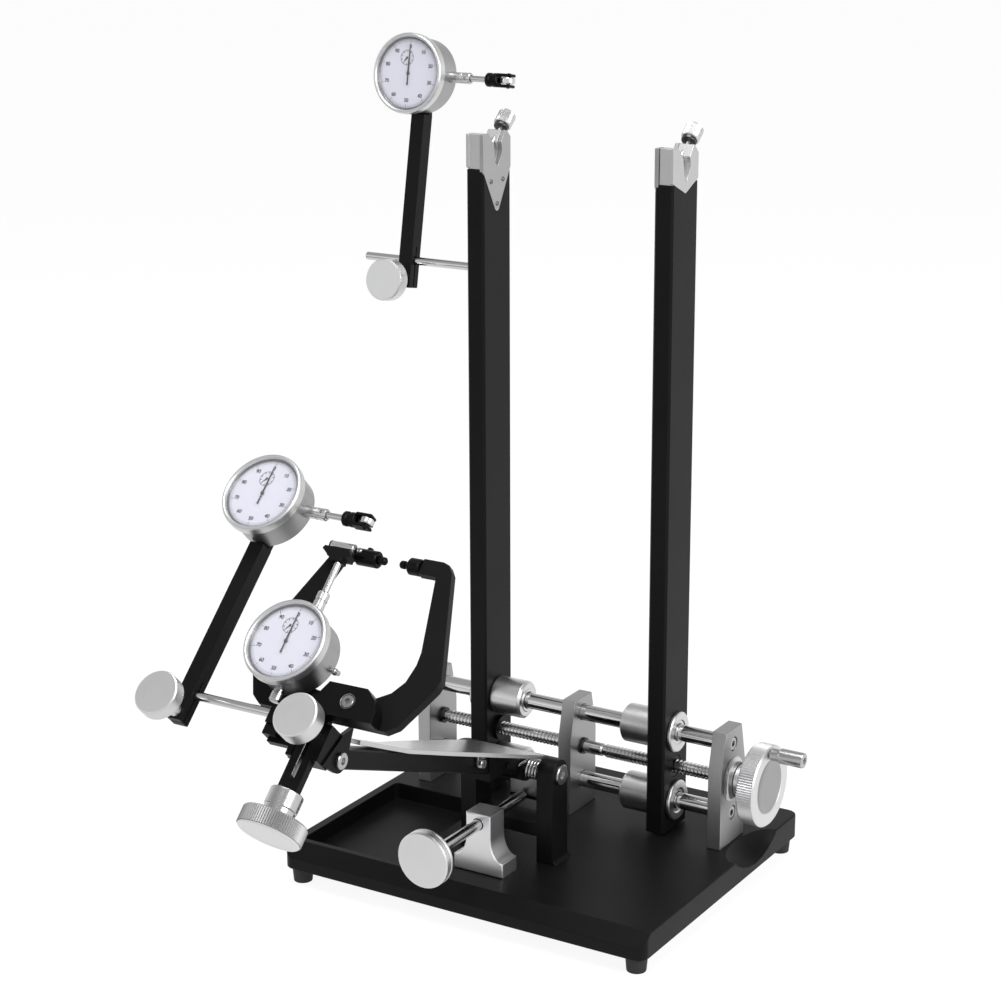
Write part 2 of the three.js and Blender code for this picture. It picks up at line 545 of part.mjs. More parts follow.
// Inner vee plate let into the upright, held by three screws
function dropoutPlate(sign) {
  const inner = sign * upright.inner;
  const blank = prism(veeOutline(0), 'x', [inner, inner + sign * vee.thick]);
  const screwZ = uprightTop - veeScrew.upperDrop;
  const places = [[-veeScrew.y, screwZ], [veeScrew.y, screwZ], [0, uprightTop - veeScrew.lowerDrop]];
  const heads = places.map(([y, z]) => rod('x', veeScrew.radius,
    [inner - sign * veeScrew.proud, inner + sign * veeScrew.depth], y, z, pinFaces));
  const limits = [inner - sign * overrun, inner + sign * (vee.thick + overrun)];
  return join(cut(blank, axleSlot(...limits)), ...heads);
}

for (const [label, sign] of [['left', -1], ['right', 1]]) {
  piece(stand, `upright_${label}`, finish.black, uprightBar(sign));
  piece(stand, `slide_collar_upper_${label}`, finish.silver, slideCollar(sign, above(guide.upper)));
  piece(stand, `slide_collar_lower_${label}`, finish.silver, slideCollar(sign, above(guide.lower)));
  piece(stand, `lead_nut_${label}`, finish.black, leadNutShape(sign));
  piece(stand, `dropout_cap_${label}`, finish.silver, dropoutCap(sign));
  piece(stand, `dropout_plate_${label}`, finish.silver, dropoutPlate(sign));
  piece(stand, `axle_clamp_${label}`, finish.steel, axleClamp(sign));
}

// Adjuster block, screw and knob
const adjusterZ = above(adjuster.screwHeight);

function adjusterBlock() {
  const [flareWide, flareTall] = [adjuster.footHalf - adjuster.halfWidth, adjuster.flareTop - adjuster.footThick];
  const flare = arc(0, 0, unit, 180, 270).map(([u, v]) => [adjuster.footHalf + u * flareWide,
    above(adjuster.flareTop) + v * flareTall]);
  const right = [[adjuster.footHalf, above(0)], ...flare.reverse(), [adjuster.halfWidth, above(adjuster.top)]];
  const left = right.map(([x, z]) => [-x, z]).reverse();
  const body = prism([...right, ...left], 'y', [adjuster.front, adjuster.back], adjuster.edge);
  const limits = [adjuster.front - overrun, adjuster.back + overrun];
  return cut(body, rod('y', adjuster.screwRadius + play, limits, 0, adjusterZ));
}

function adjusterScrew() {
  const nose = arc(0, adjuster.tip - adjuster.screwRadius, adjuster.screwRadius, 0, 90);
  nose[nose.length - 1][0] = 0;
  const tail = adjuster.knobFace + adjuster.knobThick / 2;
  return turned([[0, tail], [adjuster.screwRadius, tail], ...nose], 'y', 0, adjusterZ, rodFaces);
}

function adjusterKnob() {
  const back = adjuster.knobFace + adjuster.knobThick;
  const body = disc('y', adjuster.knobRadius, [adjuster.knobFace, back], 0, adjusterZ, adjuster.edge);
  const groove = ring('y', adjuster.groove + adjuster.grooveWidth, adjuster.groove,
    [adjuster.knobFace - overrun, adjuster.knobFace + adjuster.grooveDepth], 0, adjusterZ, wheelFaces);
  const seatLimits = [back - adjuster.knobThick / 2 - gap, back + overrun];
  const seat = rod('y', adjuster.screwRadius + gap, seatLimits, 0, adjusterZ);
  return cut(body, groove, seat);
}

piece(stand, 'adjuster_block', finish.silver, adjusterBlock());
piece(stand, 'adjuster_screw', finish.steel, adjusterScrew());
piece(stand, 'adjuster_knob', finish.silver, adjusterKnob());

// Yoke with the pivot bolt and the torsion spring
const pivotZ = above(pivot.height);
const postHalf = (yoke.back - yoke.front) / 2;

function yokePost(sign) {
  const outline = [[yoke.front, above(0)], [yoke.back, above(0)],
    ...arc(pivot.y, pivotZ, postHalf, 0, 180, 2 * arcSteps)];
  const flare = prism([[sign * yoke.outer, above(0)], [sign * (yoke.outer + yoke.flare), above(0)],
    [sign * yoke.outer, above(yoke.flareHeight)]], 'y', [yoke.front, yoke.back]);
  return join(prism(outline, 'x', [sign * yoke.inner, sign * yoke.outer]), flare);
}

function yokeFrame() {
  const cross = block([-yoke.outer + overrun, yoke.outer - overrun], [yoke.front, yoke.back],
    [above(yoke.barLow), above(yoke.barTop)]);
  const limits = [-yoke.outer - overrun, yoke.outer + overrun];
  return cut(join(yokePost(-1), yokePost(1), cross), rod('x', pivot.bolt + gap, limits, pivot.y, pivotZ));
}

function pivotBolt() {
  const headStart = yoke.outer + gap;
  const headEnd = headStart + pivot.headThick;
  const nutEnd = -headStart - pivot.nutThick;
  const shape = join(rod('x', pivot.bolt, [nutEnd, headStart + gap], pivot.y, pivotZ),
    disc('x', pivot.headRadius, [headStart, headEnd], pivot.y, pivotZ, gap),
    rod('x', pivot.nutRadius, [-headStart, nutEnd + gap], pivot.y, pivotZ, hexFaces));
  return cut(shape, hexSocket('x', pivot.socket, [headEnd - pivot.socketDepth, headEnd + overrun], pivot.y, pivotZ));
}

// One leg lies forward beside the arm, and the other stands on the yoke's cross bar
function springLine() {
  const steps = Math.round(spring.curls * springSteps);
  const coil = Array.from({ length: steps + 1 }, (_, i) => {
    const angle = Math.PI / 2 - 2 * Math.PI * i / springSteps;
    return new THREE.Vector3(spring.start + spring.pitch * i / springSteps,
      pivot.y + spring.radius * Math.cos(angle), pivotZ + spring.radius * Math.sin(angle));
  });
  const start = coil[0].clone();
  const end = coil[steps].clone();
  start.y -= spring.frontLeg;
  end.z = above(yoke.barTop) + gap;
  return [start, ...coil, end];
}

function leastWireGap(points) {
  const samples = points.slice(0, -1).flatMap((point, i) => wireSamples.map((share) => point.clone().lerp(points[i + 1],
    share)));
  const apart = 2 * springSteps;
  let least = Infinity;
  samples.forEach((a, i) => samples.slice(i + apart).forEach((b) => {
    least = Math.min(least, a.distanceTo(b));
  }));
  return least - 2 * spring.wire;
}

const springPoints = springLine();
const springGap = leastWireGap(springPoints);
console.log(`Least gap between the spring's curls: ${springGap.toFixed(2)} mm, wanted over ${clearWires} mm`);

piece(stand, 'yoke', finish.black, yokeFrame());
piece(stand, 'arm_pivot_bolt', finish.steel, pivotBolt());
piece(stand, 'torsion_spring', finish.steel, wire(springPoints, spring.wire, wireFaces));

// Swing arm, drawn in its own frame: y runs back along the arm and z is square to it
const armAngle = THREE.MathUtils.degToRad(arm.tilt);
const armGroup = new THREE.Group();
armGroup.position.set(0, pivot.y, pivotZ);
armGroup.rotation.x = -armAngle;
stand.add(armGroup);

// Shapes that are level or upright on the stand, set into the arm's frame
function levelInArm(geometry) {
  return geometry.translate(0, -pivot.y, -pivotZ).rotateX(armAngle);
}

function swingArm() {
  const h = arm.halfHeight;
  const outline = [[-arm.start, -h], [-arm.start, h], ...arc(-arm.length, 0, h, 90, 270, 2 * arcSteps)];
  const beam = prism(outline, 'x', [-arm.halfWidth, arm.halfWidth], arm.edge);
  const root = levelInArm(block([-arm.rootHalf, arm.rootHalf], [arm.rootFront, arm.rootBack],
    [above(arm.rootLow), above(arm.rootLow) + 2 * arm.hub]));
  const under = block([-arm.rootHalf, arm.rootHalf], [-arm.length, arm.hub], [-2 * arm.hub, arm.rootCap]);
  const hub = rod('x', arm.hub, [-arm.rootHalf, arm.rootHalf], 0, 0);
  const lugFront = adjuster.tip + gap;
  const lugPlate = levelInArm(block([-lug.half, lug.half], [lugFront, lugFront + lug.thick],
    [above(lug.low), above(lug.top)]));
  const lugWeb = levelInArm(block([-arm.rootHalf, arm.rootHalf], [pivot.y, lugFront + lug.thick],
    [above(lug.top) - lug.thick, above(lug.top) + lug.thick]));
  const bore = rod('x', pivot.bolt + play, [-lug.half - overrun, lug.half + overrun], 0, 0);
  const endBore = rod('x', head.bolt + play, [-lug.half, lug.half], -arm.length, 0, pinFaces);
  const earBore = rod('x', ear.screw + gap, [-lug.half, lug.half], -ear.s, ear.h, pinFaces);
  const sideScrews = rod('x', sideScrew.radius, [-arm.rootHalf - sideScrew.thick, arm.rootHalf + sideScrew.thick],
    -sideScrew.s, sideScrew.h, pinFaces);
  return cut(join(beam, shared(root, under), hub, lugPlate, lugWeb, sideScrews), bore, endBore, earBore);
}

// Lever plate over the arm, folded down at its edges, with ears that hinge on the arm
function leverPlan(inset, rear) {
  const right = [[lever.rearHalf - inset, -rear], [lever.waistHalf - inset, -lever.waist],
    [lever.neckHalf - inset, -lever.neck], [lever.tipHalf - inset, -lever.tip + inset]];
  return [...right, ...right.map(([x, y]) => [-x, y]).reverse()];
}

function leverSide(top, bottom) {
  const line = [[-lever.rear + overrun, lever.rearTop], [-lever.neck, lever.neckTop],
    [-lever.tip - overrun, lever.tipTop]];
  return prism([...line.map(([y, z]) => [y, z - top]), ...line.reverse().map(([y, z]) => [y, z - bottom])], 'x',
    [-lever.rearHalf - overrun, lever.rearHalf + overrun]);
}

function leverPlate() {
  const limits = [-lever.rearTop, 2 * lever.rearTop];
  const shell = shared(leverSide(0, lever.flange), prism(leverPlan(0, lever.rear), 'z', limits));
  const inside = shared(leverSide(lever.thick, lever.flange + overrun), prism(leverPlan(lever.wall, 0), 'z', limits));
  const ears = [-1, 1].map((sign) => {
    const tabTop = lever.neckTop + lever.thick;
    const tab = [[-ear.s - ear.half, tabTop], [-ear.s + ear.half, tabTop],
      ...arc(-ear.s, ear.h, ear.foot, 0, -180)];
    const limit = [sign * ear.inner, sign * (ear.inner + ear.thick)];
    return prism(tab, 'x', limit);
  });
  const bores = rod('x', ear.screw + gap, [-lever.rearHalf, lever.rearHalf], -ear.s, ear.h, pinFaces);
  return cut(join(cut(shell, inside), ...ears), bores);
}

// Bolt across the arm with a socket head at the right and a plain head at the left
function crossBolt(at, z, radius, outer, headRadius, headThick, socket, socketDepth) {
  const headEnd = outer + headThick;
  const heads = [-1, 1].map((sign) => rod('x', headRadius, [sign * outer, sign * headEnd], at, z));
  const body = join(rod('x', radius, [-outer - gap, outer + gap], at, z, pinFaces), ...heads);
  return cut(body, hexSocket('x', socket, [headEnd - socketDepth, headEnd + overrun], at, z));
}

piece(armGroup, 'swing_arm', finish.black, swingArm());
piece(armGroup, 'lever_plate', finish.silver, leverPlate());
piece(armGroup, 'lever_pin', finish.steel, crossBolt(-ear.s, ear.h, ear.screw, ear.inner + ear.thick + gap,
  ear.headRadius, ear.headThick, ear.socket, ear.socketDepth));
piece(armGroup, 'head_bolt', finish.steel, crossBolt(-arm.length, 0, head.bolt, head.earInner + head.earThick + gap,
  head.boltHead, head.boltThick, head.socket, head.socketDepth));

// Head, hinged on the arm's end
const headPivot = new THREE.Vector3(0, pivot.y - arm.length * Math.cos(armAngle),
  pivotZ + arm.length * Math.sin(armAngle));
const headGroup = new THREE.Group();
headGroup.position.copy(headPivot);
headGroup.rotation.x = -THREE.MathUtils.degToRad(head.tilt);
stand.add(headGroup);
const headFrame = new THREE.Group();
headFrame.position.set(0, -head.pivotY, -head.pivotZ);
headGroup.add(headFrame);

// The clamp knob's boss ends at the slide, and the bracket's stud goes through the slide's slot into it
const clampBossEnd = slide.front - gap;

function headBracket() {
  const guideFront = slide.back + play;
  const guideBlock = block([-head.guideHalf, head.guideHalf], [guideFront, head.guideBack],
    [head.guideLow, head.guideTop]);
  const lips = [-1, 1].map((sign) => block([sign * (slide.half + play), sign * head.guideHalf],
    [slide.front - gap, guideFront + gap], [head.guideLow, head.guideTop]));
  const ears = [-1, 1].map((sign) => {
    const outline = [[guideFront, head.guideLow], ...arc(head.pivotY, head.pivotZ, head.earRadius, -90, head.earEnd),
      [head.wedgeOut, head.wedgeShoulder], [head.wedgeBack, head.wedgeTop], [head.guideBack - gap, head.guideTop]];
    return prism(outline, 'x', [sign * head.earInner, sign * (head.earInner + head.earThick)]);
  });
  const sidePlate = block([side.outer, -head.guideHalf + gap], [side.front, side.back], [side.low, side.top]);
  const step = block([rodBlock.outer, rodBlock.inner], [rodBlock.stepFront, side.back], [rodBlock.stepLow, side.top]);
  const rodHolder = block([rodBlock.outer, rodBlock.inner], [rodBlock.front, rodBlock.back],
    [rodBlock.low, rodBlock.top]);
  const bores = [
    rod('x', head.bolt + gap, [-head.guideHalf - overrun - head.earThick, head.guideHalf + overrun + head.earThick],
      head.pivotY, head.pivotZ, pinFaces),
    rod('x', crossRod.radius + gap, [rodBlock.inner + overrun, rodBlock.outer - overrun], crossRod.y, crossRod.z),
  ];
  const studLimits = [clampBossEnd - headClamp.studSeat, guideFront + gap];
  const stud = rod('y', headClamp.stud, studLimits, 0, headClamp.z, pinFaces);
  return join(cut(join(guideBlock, ...lips, ...ears, sidePlate, step, rodHolder), ...bores), stud);
}

function headClampKnob() {
  const back = headClamp.face + headClamp.thick;
  const seatLimits = [clampBossEnd - headClamp.studSeat - gap, clampBossEnd + overrun];
  return cut(join(disc('y', headClamp.radius, [headClamp.face, back], 0, headClamp.z, headClamp.edge),
    rod('y', headClamp.boss, [back - headClamp.edge, clampBossEnd], 0, headClamp.z)),
  rod('y', headClamp.stud + gap, seatLimits, 0, headClamp.z, pinFaces));
}

function crossRodShape() {
  return rod('x', crossRod.radius, [rodBlock.inner, crossRod.end], crossRod.y, crossRod.z);
}

// Slotted bar of the slide, and the pull knob at its foot
const slideY = (slide.front + slide.back) / 2;

function slideBar() {
  const body = block([-slide.half, slide.half], [slide.front, slide.back], [slide.low, slide.top]);
  const slotCut = block([-slide.slotHalf, slide.slotHalf], [slide.front - overrun, slide.back + overrun],
    [slide.slotLow, slide.slotTop]);
  const hole = rod('z', pull.stub + gap, [slide.low - overrun, slide.low + pull.stubLength], 0, slideY, pinFaces);
  return cut(body, slotCut, hole);
}

function pullKnob() {
  const profile = [[0, pull.knobLow], [pull.knob - pull.edge, pull.knobLow], [pull.knob, pull.knobLow + pull.edge],
    [pull.knob, pull.knobTop - pull.edge], [pull.knob - pull.edge, pull.knobTop], [pull.neck, pull.knobTop],
    [pull.neck, pull.hubLow], [pull.hub, pull.hubLow], [pull.hub, pull.hubTop - pull.edge],
    [pull.hub - pull.edge, pull.hubTop], [pull.stub, pull.hubTop], [pull.stub, slide.low + pull.stubLength - gap],
    [0, slide.low + pull.stubLength - gap]];
  return turned(profile, 'z', 0, slideY);
}

// Caliper: a bow round the rim, with a saddle for the feeler's tail and a barrel on its left
const feelerY = (caliper.front + caliper.back) / 2;

function caliperBow() {
  const c = caliper;
  const outerSide = [[c.foot, c.low], [c.footCorner, c.low + c.footRise], [c.hip, c.hipZ], [c.side, c.sideZ],
    [c.shoulder, c.shoulderZ]];
  const innerSide = [[c.innerTop, c.under], [c.innerSide, c.innerSideZ], [c.bowl, c.bowlZ], [c.midBowl, c.midBowlZ],
    [c.lowBowl, c.lowBowlZ], [c.floorHalf, c.floorZ]];
  const right = [...outerSide, [c.crown, c.crownZ], [c.crownFlat, c.top], [c.rightTip, c.top], [c.rightTip, c.under],
    ...innerSide, [0, c.bowlFloor]];
  const mirrored = (points) => points.map(([x, z]) => [-x, z]);
  const saddleTop = [[-c.shoulder, c.saddle], [-c.saddleEnd, c.saddle], [-c.saddleEnd, c.top], [-c.leftTip, c.top],
    [-c.leftTip, c.under]];
  const left = [...mirrored(outerSide.slice(0, -1)), ...saddleTop, ...mirrored(innerSide)].reverse();
  const bow = prism([...right, ...left], 'y', [c.front, c.back], gap);
  const barrelArm = block([-c.saddleEnd, -c.leftTip], [barrel.y, c.front + gap], [barrel.armLow, barrel.armTop]);
  const barrelBody = rod('x', barrel.radius, [barrel.left, barrel.right], barrel.y, barrel.z);
  const bore = rod('x', feeler.pinCore + play, [-c.saddleEnd - overrun, -c.leftTip + overrun], feelerY, feeler.z,
    pinFaces);
  const socket = rod('x', feeler.pinCore + gap, [c.rightTip - overrun, c.rightTip + feeler.seat], feelerY, feeler.z,
    pinFaces);
  const screwHole = rod('y', carrier.shank + gap, [c.front - overrun, 0], carrier.screwX, carrier.screwZ, pinFaces);
  return cut(join(bow, barrelArm, barrelBody), bore, socket, screwHole);
}

function carrierBlock() {
  const back = caliper.front - gap;
  const outline = [[carrier.left, carrier.topLeft], [carrier.topRight, carrier.top],
    [carrier.shoulder, carrier.shoulderZ], [carrier.nose, carrier.noseZ], [carrier.nose, carrier.lowZ],
    [carrier.lowX, carrier.lowZ], [carrier.tongueHalf, carrier.footLow], [-carrier.tongueHalf, carrier.footLow],
    [-carrier.tongueHalf, carrier.noseZ], [carrier.bevelX, carrier.bevelZ]];
  const upper = prism(outline, 'y', [carrier.front, back]);
  const behind = block([-head.guideHalf, carrier.nose], [slide.front - gap, back + overrun], [carrier.footLow - overrun,
    slide.top + gap]);
  const headFront = carrier.front - carrier.screwProud;
  const screw = rod('y', carrier.screwRadius, [headFront, carrier.front + gap], carrier.screwX, carrier.screwZ);
  const shank = rod('y', carrier.shank, [back - gap, -gap], carrier.screwX, carrier.screwZ, pinFaces);
  const socket = hexSocket('y', carrier.socket, [headFront - overrun, headFront + carrier.socketDepth], carrier.screwX,
    carrier.screwZ);
  return cut(join(cut(upper, behind), screw, shank), socket);
}

// Feeler fixed in the bow's right tip
function fixedFeeler() {
  const { bushRight, pinTipRadius, tip } = feeler;
  const seatLimits = [caliper.rightTip - overrun, caliper.rightTip + feeler.seat - gap];
  return join(
    rod('x', feeler.bushRadius, [bushRight, caliper.rightTip - gap], feelerY, feeler.z),
    rod('x', feeler.pinRadius, [tip + pinTipRadius, bushRight + gap], feelerY, feeler.z, pinFaces),
    rod('x', pinTipRadius, [tip, tip + pinTipRadius + gap], feelerY, feeler.z, pinFaces),
    rod('x', feeler.pinCore, seatLimits, feelerY, feeler.z, pinFaces));
}

function feelerBush() {
  return ring('x', feeler.bushRadius, feeler.pinRadius + play, [feeler.bushLeft, feeler.bushEnd], feelerY, feeler.z);
}

function feelerPin() {
  const { bushLeft, pinTipRadius, tip, pinCore, pinRadius } = feeler;
  const profile = [[0, feeler.tailEnd], [feeler.tailRadius, feeler.tailEnd], [feeler.tailRadius, feeler.tailStart],
    [pinCore, feeler.tailStart], [pinCore, bushLeft + gap], [pinRadius, bushLeft + gap],
    [pinRadius, -tip - pinTipRadius], [pinTipRadius, -tip - pinTipRadius], [pinTipRadius, -tip], [0, -tip]];
  return turned(profile, 'x', feelerY, feeler.z, pinFaces);
}

// Rocker that carries the feeler's travel down to the front dial's plunger
function feelerRocker() {
  const outline = [[rocker.left, rocker.leftZ], [rocker.crown, rocker.crownZ], [rocker.right, rocker.crownZ],
    [rocker.tail, rocker.tailZ], [rocker.neck, rocker.neckZ], [rocker.heelRight, rocker.heelZ],
    [rocker.heelLeft, rocker.heelZ], [rocker.low, rocker.lowZ]];
  return prism(outline, 'y', [rocker.front, rocker.back], gap);
}

piece(headFrame, 'head_bracket', finish.black, headBracket());
piece(headFrame, 'head_clamp_knob', finish.silver, headClampKnob());
piece(headFrame, 'cross_rod', finish.steel, crossRodShape());
piece(headFrame, 'slide_bar', finish.black, slideBar());
piece(headFrame, 'pull_knob', finish.silver, pullKnob());
piece(headFrame, 'caliper', finish.black, caliperBow());
piece(headFrame, 'carrier_block', finish.black, carrierBlock());
piece(headFrame, 'fixed_feeler', finish.black, fixedFeeler());
piece(headFrame, 'feeler_bush', finish.black, feelerBush());
piece(headFrame, 'feeler_pin', finish.steel, feelerPin());
piece(headFrame, 'feeler_rocker', finish.black, feelerRocker());

// Dial gauge drawn with its face to -y, its stem along +x and its centre on the back plane
function dialCase(capReach = 0) {
  const front = -dial.depth;
  const profile = [[0, 0], [dial.backRadius - dial.edge, 0], [dial.backRadius, -dial.edge],
    [dial.backRadius, front + dial.rim], [dial.radius, front + dial.rim - dial.edge], [dial.radius, front + dial.edge],
    [dial.radius - dial.edge, front], [dial.bezel, front], [dial.bezel, front + dial.bezelDepth],
    [0, front + dial.bezelDepth]];
  const stemY = -dial.stemDepth;
  const stem = rod('x', dial.stem, [dial.backRadius - overrun, dial.stemReach], stemY, 0);
  const bore = rod('x', dial.plunger + gap, [dial.bore, dial.stemReach + overrun], stemY, 0, pinFaces);
  const arborHole = rod('y', needle.arbor + gap, [front, front + dial.bezelDepth + needle.arbor], 0, 0, pinFaces);
  const caps = capReach > 0 ? [rod('x', frontDial.capRadius, [-dial.backRadius + overrun, -capReach], stemY, 0)] : [];
  return cut(join(turned(profile, 'y', 0, 0), stem, ...caps), bore, arborHole);
}

// The needle points up
function dialNeedle() {
  const floor = -dial.depth + dial.bezelDepth;
  const front = floor - needle.lift;
  const blade = [[-needle.halfWidth, -needle.tail], [needle.halfWidth, -needle.tail],
    [needle.halfWidth, needle.length / 2], [needle.halfWidth / 2, needle.length],
    [-needle.halfWidth / 2, needle.length], [-needle.halfWidth, needle.length / 2]];
  return join(prism(blade, 'y', [front - needle.thick, front]),
    rod('y', needle.hub, [front - needle.thick - gap, front], 0, 0, pinFaces),
    rod('y', needle.arbor, [front - gap, floor + needle.arbor - gap], 0, 0, pinFaces));
}

function plungerWithFork() {
  const stemY = -dial.stemDepth;
  const rodShape = rod('x', dial.plunger, [dial.plungerTail, forkEnd.start + gap], stemY, 0, pinFaces);
  const body = rod('x', forkEnd.body, [forkEnd.start, forkEnd.bodyEnd], stemY, 0, rodFaces);
  const prongs = [-1, 1].map((sign) => block([forkEnd.bodyEnd - overrun, forkEnd.end],
    [stemY - forkEnd.halfWidth, stemY + forkEnd.halfWidth], [sign * forkEnd.prongInner, sign * forkEnd.prongOuter]));
  const trimmed = shared(join(...prongs), rod('x', forkEnd.body, [forkEnd.start, forkEnd.end], stemY, 0, rodFaces));
  const pinEnd = forkEnd.prongInner + gap;
  const pin = rod('z', forkEnd.pin, [-pinEnd, pinEnd], roller.reach, stemY, pinFaces);
  return join(rodShape, body, trimmed, pin);
}

function rollerShape() {
  return ring('z', roller.radius, forkEnd.pin + gap, [-roller.halfThick, roller.halfThick], roller.reach,
    -dial.stemDepth, rodFaces);
}

// Front dial, with its stem up along the caliper and a plunger that the rocker presses
const frontDialGroup = new THREE.Group();
frontDialGroup.position.set(frontDial.x, caliper.front - gap, frontDial.z);
headFrame.add(frontDialGroup);

function stemUp(shape) {
  return geometryOf(asSolid(shape)).rotateY(-Math.PI / 2);
}

function frontPlunger() {
  const reach = rocker.heelZ - gap - frontDial.z;
  return rod('x', dial.plunger, [dial.plungerTail, reach], -dial.stemDepth, 0, pinFaces);
}

piece(frontDialGroup, 'front_dial_case', finish.silver, stemUp(dialCase(frontDial.capReach)));
piece(frontDialGroup, 'front_dial_needle', finish.black, dialNeedle());
piece(frontDialGroup, 'front_dial_plunger', finish.steel, stemUp(frontPlunger()));

// A dial on a bar that is clamped on a rod by a split foot and a knob. A tongue goes up behind the dial.
function dialBar(dialZ) {
  const { half } = bar;
  const square = [[-half, -half], [half, -half], [half, half], [-half, half]];
  const barTop = dialZ - dial.backRadius - gap;
  const body = prism(square, 'z', [bar.low, barTop], gap);
  const tongue = block([-half, half], [bar.dialBack + gap, half - gap], [barTop - overrun, dialZ + bar.tongueRise]);
  return cut(join(body, tongue),
    rod('x', crossRod.radius + gap, [-half - overrun, half + overrun], 0, 0),
    block([-half - overrun, half + overrun], [-bar.slitHalf, bar.slitHalf], [bar.low - overrun, bar.slitTop]),
    rod('y', barKnob.shank + gap, [-half - overrun, half + overrun], 0, bar.knobZ, pinFaces));
}

function dialBarKnob() {
  const back = barKnob.face + barKnob.thick;
  return join(disc('y', barKnob.radius, [barKnob.face, back], 0, bar.knobZ, barKnob.edge),
    rod('y', barKnob.neck, [back - barKnob.edge, -bar.half - gap], 0, bar.knobZ),
    rod('y', barKnob.shank, [-bar.half - gap - barKnob.edge, barKnob.shankEnd], 0, bar.knobZ, pinFaces));
}

function dialArm(label, size, x, y, z) {
  const group = new THREE.Group();
  group.position.set(x, y, z);
  group.rotation.x = -THREE.MathUtils.degToRad(size.tilt);
  stand.add(group);
  piece(group, `${label}_arm_bar`, finish.black, dialBar(size.dialZ));
  piece(group, `${label}_arm_knob`, finish.silver, dialBarKnob());
  const gauge = new THREE.Group();
  gauge.position.set(0, bar.dialBack, size.dialZ);
  group.add(gauge);
  piece(gauge, `${label}_dial_case`, finish.silver, dialCase());
  piece(gauge, `${label}_dial_needle`, finish.black, dialNeedle());
  piece(gauge, `${label}_dial_plunger`, finish.steel, plungerWithFork());
  piece(gauge, `${label}_dial_roller`, finish.steel, rollerShape());
}

const upperRodEnd = -upright.outer - upperRod.reach;
const upperRodZ = uprightTop - upperRod.drop;
const upperRodLimits = [-upright.outer + upperRod.seat - gap, upperRodEnd];
piece(stand, 'upper_rod', finish.steel, rod('x', upperRod.radius, upperRodLimits, 0, upperRodZ));
dialArm('upper', upperArm, upperRodEnd + upperArm.inset, 0, upperRodZ);

// The cross rod's place on the stand, from its place in the head's frame
const crossRodPlace = new THREE.Vector3(0, crossRod.y - head.pivotY, crossRod.z - head.pivotZ);
crossRodPlace.applyAxisAngle(new THREE.Vector3(1, 0, 0), -THREE.MathUtils.degToRad(head.tilt)).add(headPivot);
dialArm('lower', lowerArm, crossRod.end + lowerArm.inset, crossRodPlace.y, crossRodPlace.z);

export default stand;
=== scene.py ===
import math

import bmesh
import bpy
from mathutils import Matrix, Vector


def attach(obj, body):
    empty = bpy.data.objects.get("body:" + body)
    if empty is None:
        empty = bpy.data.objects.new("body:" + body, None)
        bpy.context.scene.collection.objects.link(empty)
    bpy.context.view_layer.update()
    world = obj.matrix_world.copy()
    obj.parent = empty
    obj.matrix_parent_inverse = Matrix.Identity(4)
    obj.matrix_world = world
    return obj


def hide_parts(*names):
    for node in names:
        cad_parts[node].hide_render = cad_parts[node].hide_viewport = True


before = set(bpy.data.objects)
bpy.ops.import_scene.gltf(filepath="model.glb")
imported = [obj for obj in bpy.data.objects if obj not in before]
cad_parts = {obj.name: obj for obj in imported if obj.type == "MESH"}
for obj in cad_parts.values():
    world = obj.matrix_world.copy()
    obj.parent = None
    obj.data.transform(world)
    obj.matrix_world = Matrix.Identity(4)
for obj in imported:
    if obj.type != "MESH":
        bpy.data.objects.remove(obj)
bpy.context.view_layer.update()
scene = bpy.context.scene


# View. The stand is seen from the front right, a little from above, through a long lens.
# The camera stands about 1.8 m from it, where the photograph was taken.
camera_data = bpy.data.cameras.new("camera")
camera_data.sensor_width = 36
camera_data.lens = 86.64
camera_data.clip_end = 60
camera = bpy.data.objects.new("camera", camera_data)
camera_right = Vector((0.85321, 0.521557, -0.003338))
camera_up = Vector((-0.141451, 0.237549, 0.961021))
camera_back = Vector((0.50202, -0.819481, 0.276454))
turned_view = Matrix((camera_right, camera_up, camera_back)).transposed().to_4x4()
camera.matrix_world = Matrix.Translation((0.82649, -1.45707, 0.73817)) @ turned_view
scene.collection.objects.link(camera)
scene.camera = camera
scene.view_settings.view_transform = "Standard"


# Studio. Three large soft lamps light the stand on a white sweep of paper.
# The floor is white to the camera and in reflections, and keeps the stand's soft shadow.
class Socket:
    """A node's output in a material, with arithmetic that adds Math nodes."""

    def __init__(self, tree, output=None):
        self.tree = tree
        self.output = output

    def make(self, kind, settings=None, inputs=None, output=0):
        node = self.tree.nodes.new(kind)
        for name, value in (settings or {}).items():
            if name == "stops":
                for stop, (place, tone) in zip(node.color_ramp.elements, value):
                    stop.position = place
                    stop.color = (tone, tone, tone, 1)
            else:
                setattr(node, name, value)
        for name, value in (inputs or {}).items():
            if isinstance(value, Socket):
                self.tree.links.new(value.output, node.inputs[name])
            else:
                node.inputs[name].default_value = value
        return Socket(self.tree, node.outputs[output] if node.outputs else None)

    def math(self, operation, *others):
        return self.make("ShaderNodeMath", {"operation": operation}, dict(enumerate((self, *others))))

    def __add__(self, other):
        return self.math("ADD", other)

    __radd__ = __add__

    def __mul__(self, other):
        return self.math("MULTIPLY", other)

    __rmul__ = __mul__

    def __sub__(self, other):
        return self.math("SUBTRACT", other)

    def __rsub__(self, other):
        return self * -1 + other

    def __truediv__(self, other):
        return self.math("DIVIDE", other)


def soft_lamp(name, place, aim, size, watts, mirrored=True):
    data = bpy.data.lights.new(name, "AREA")
    data.shape = "DISK"
    data.size = size
    data.energy = watts
    lamp = bpy.data.objects.new(name, data)
    lamp.location = place
    lamp.rotation_euler = (Vector(aim) - Vector(place)).to_track_quat("-Z", "Y").to_euler()
    lamp.visible_glossy = mirrored
    scene.collection.objects.link(lamp)


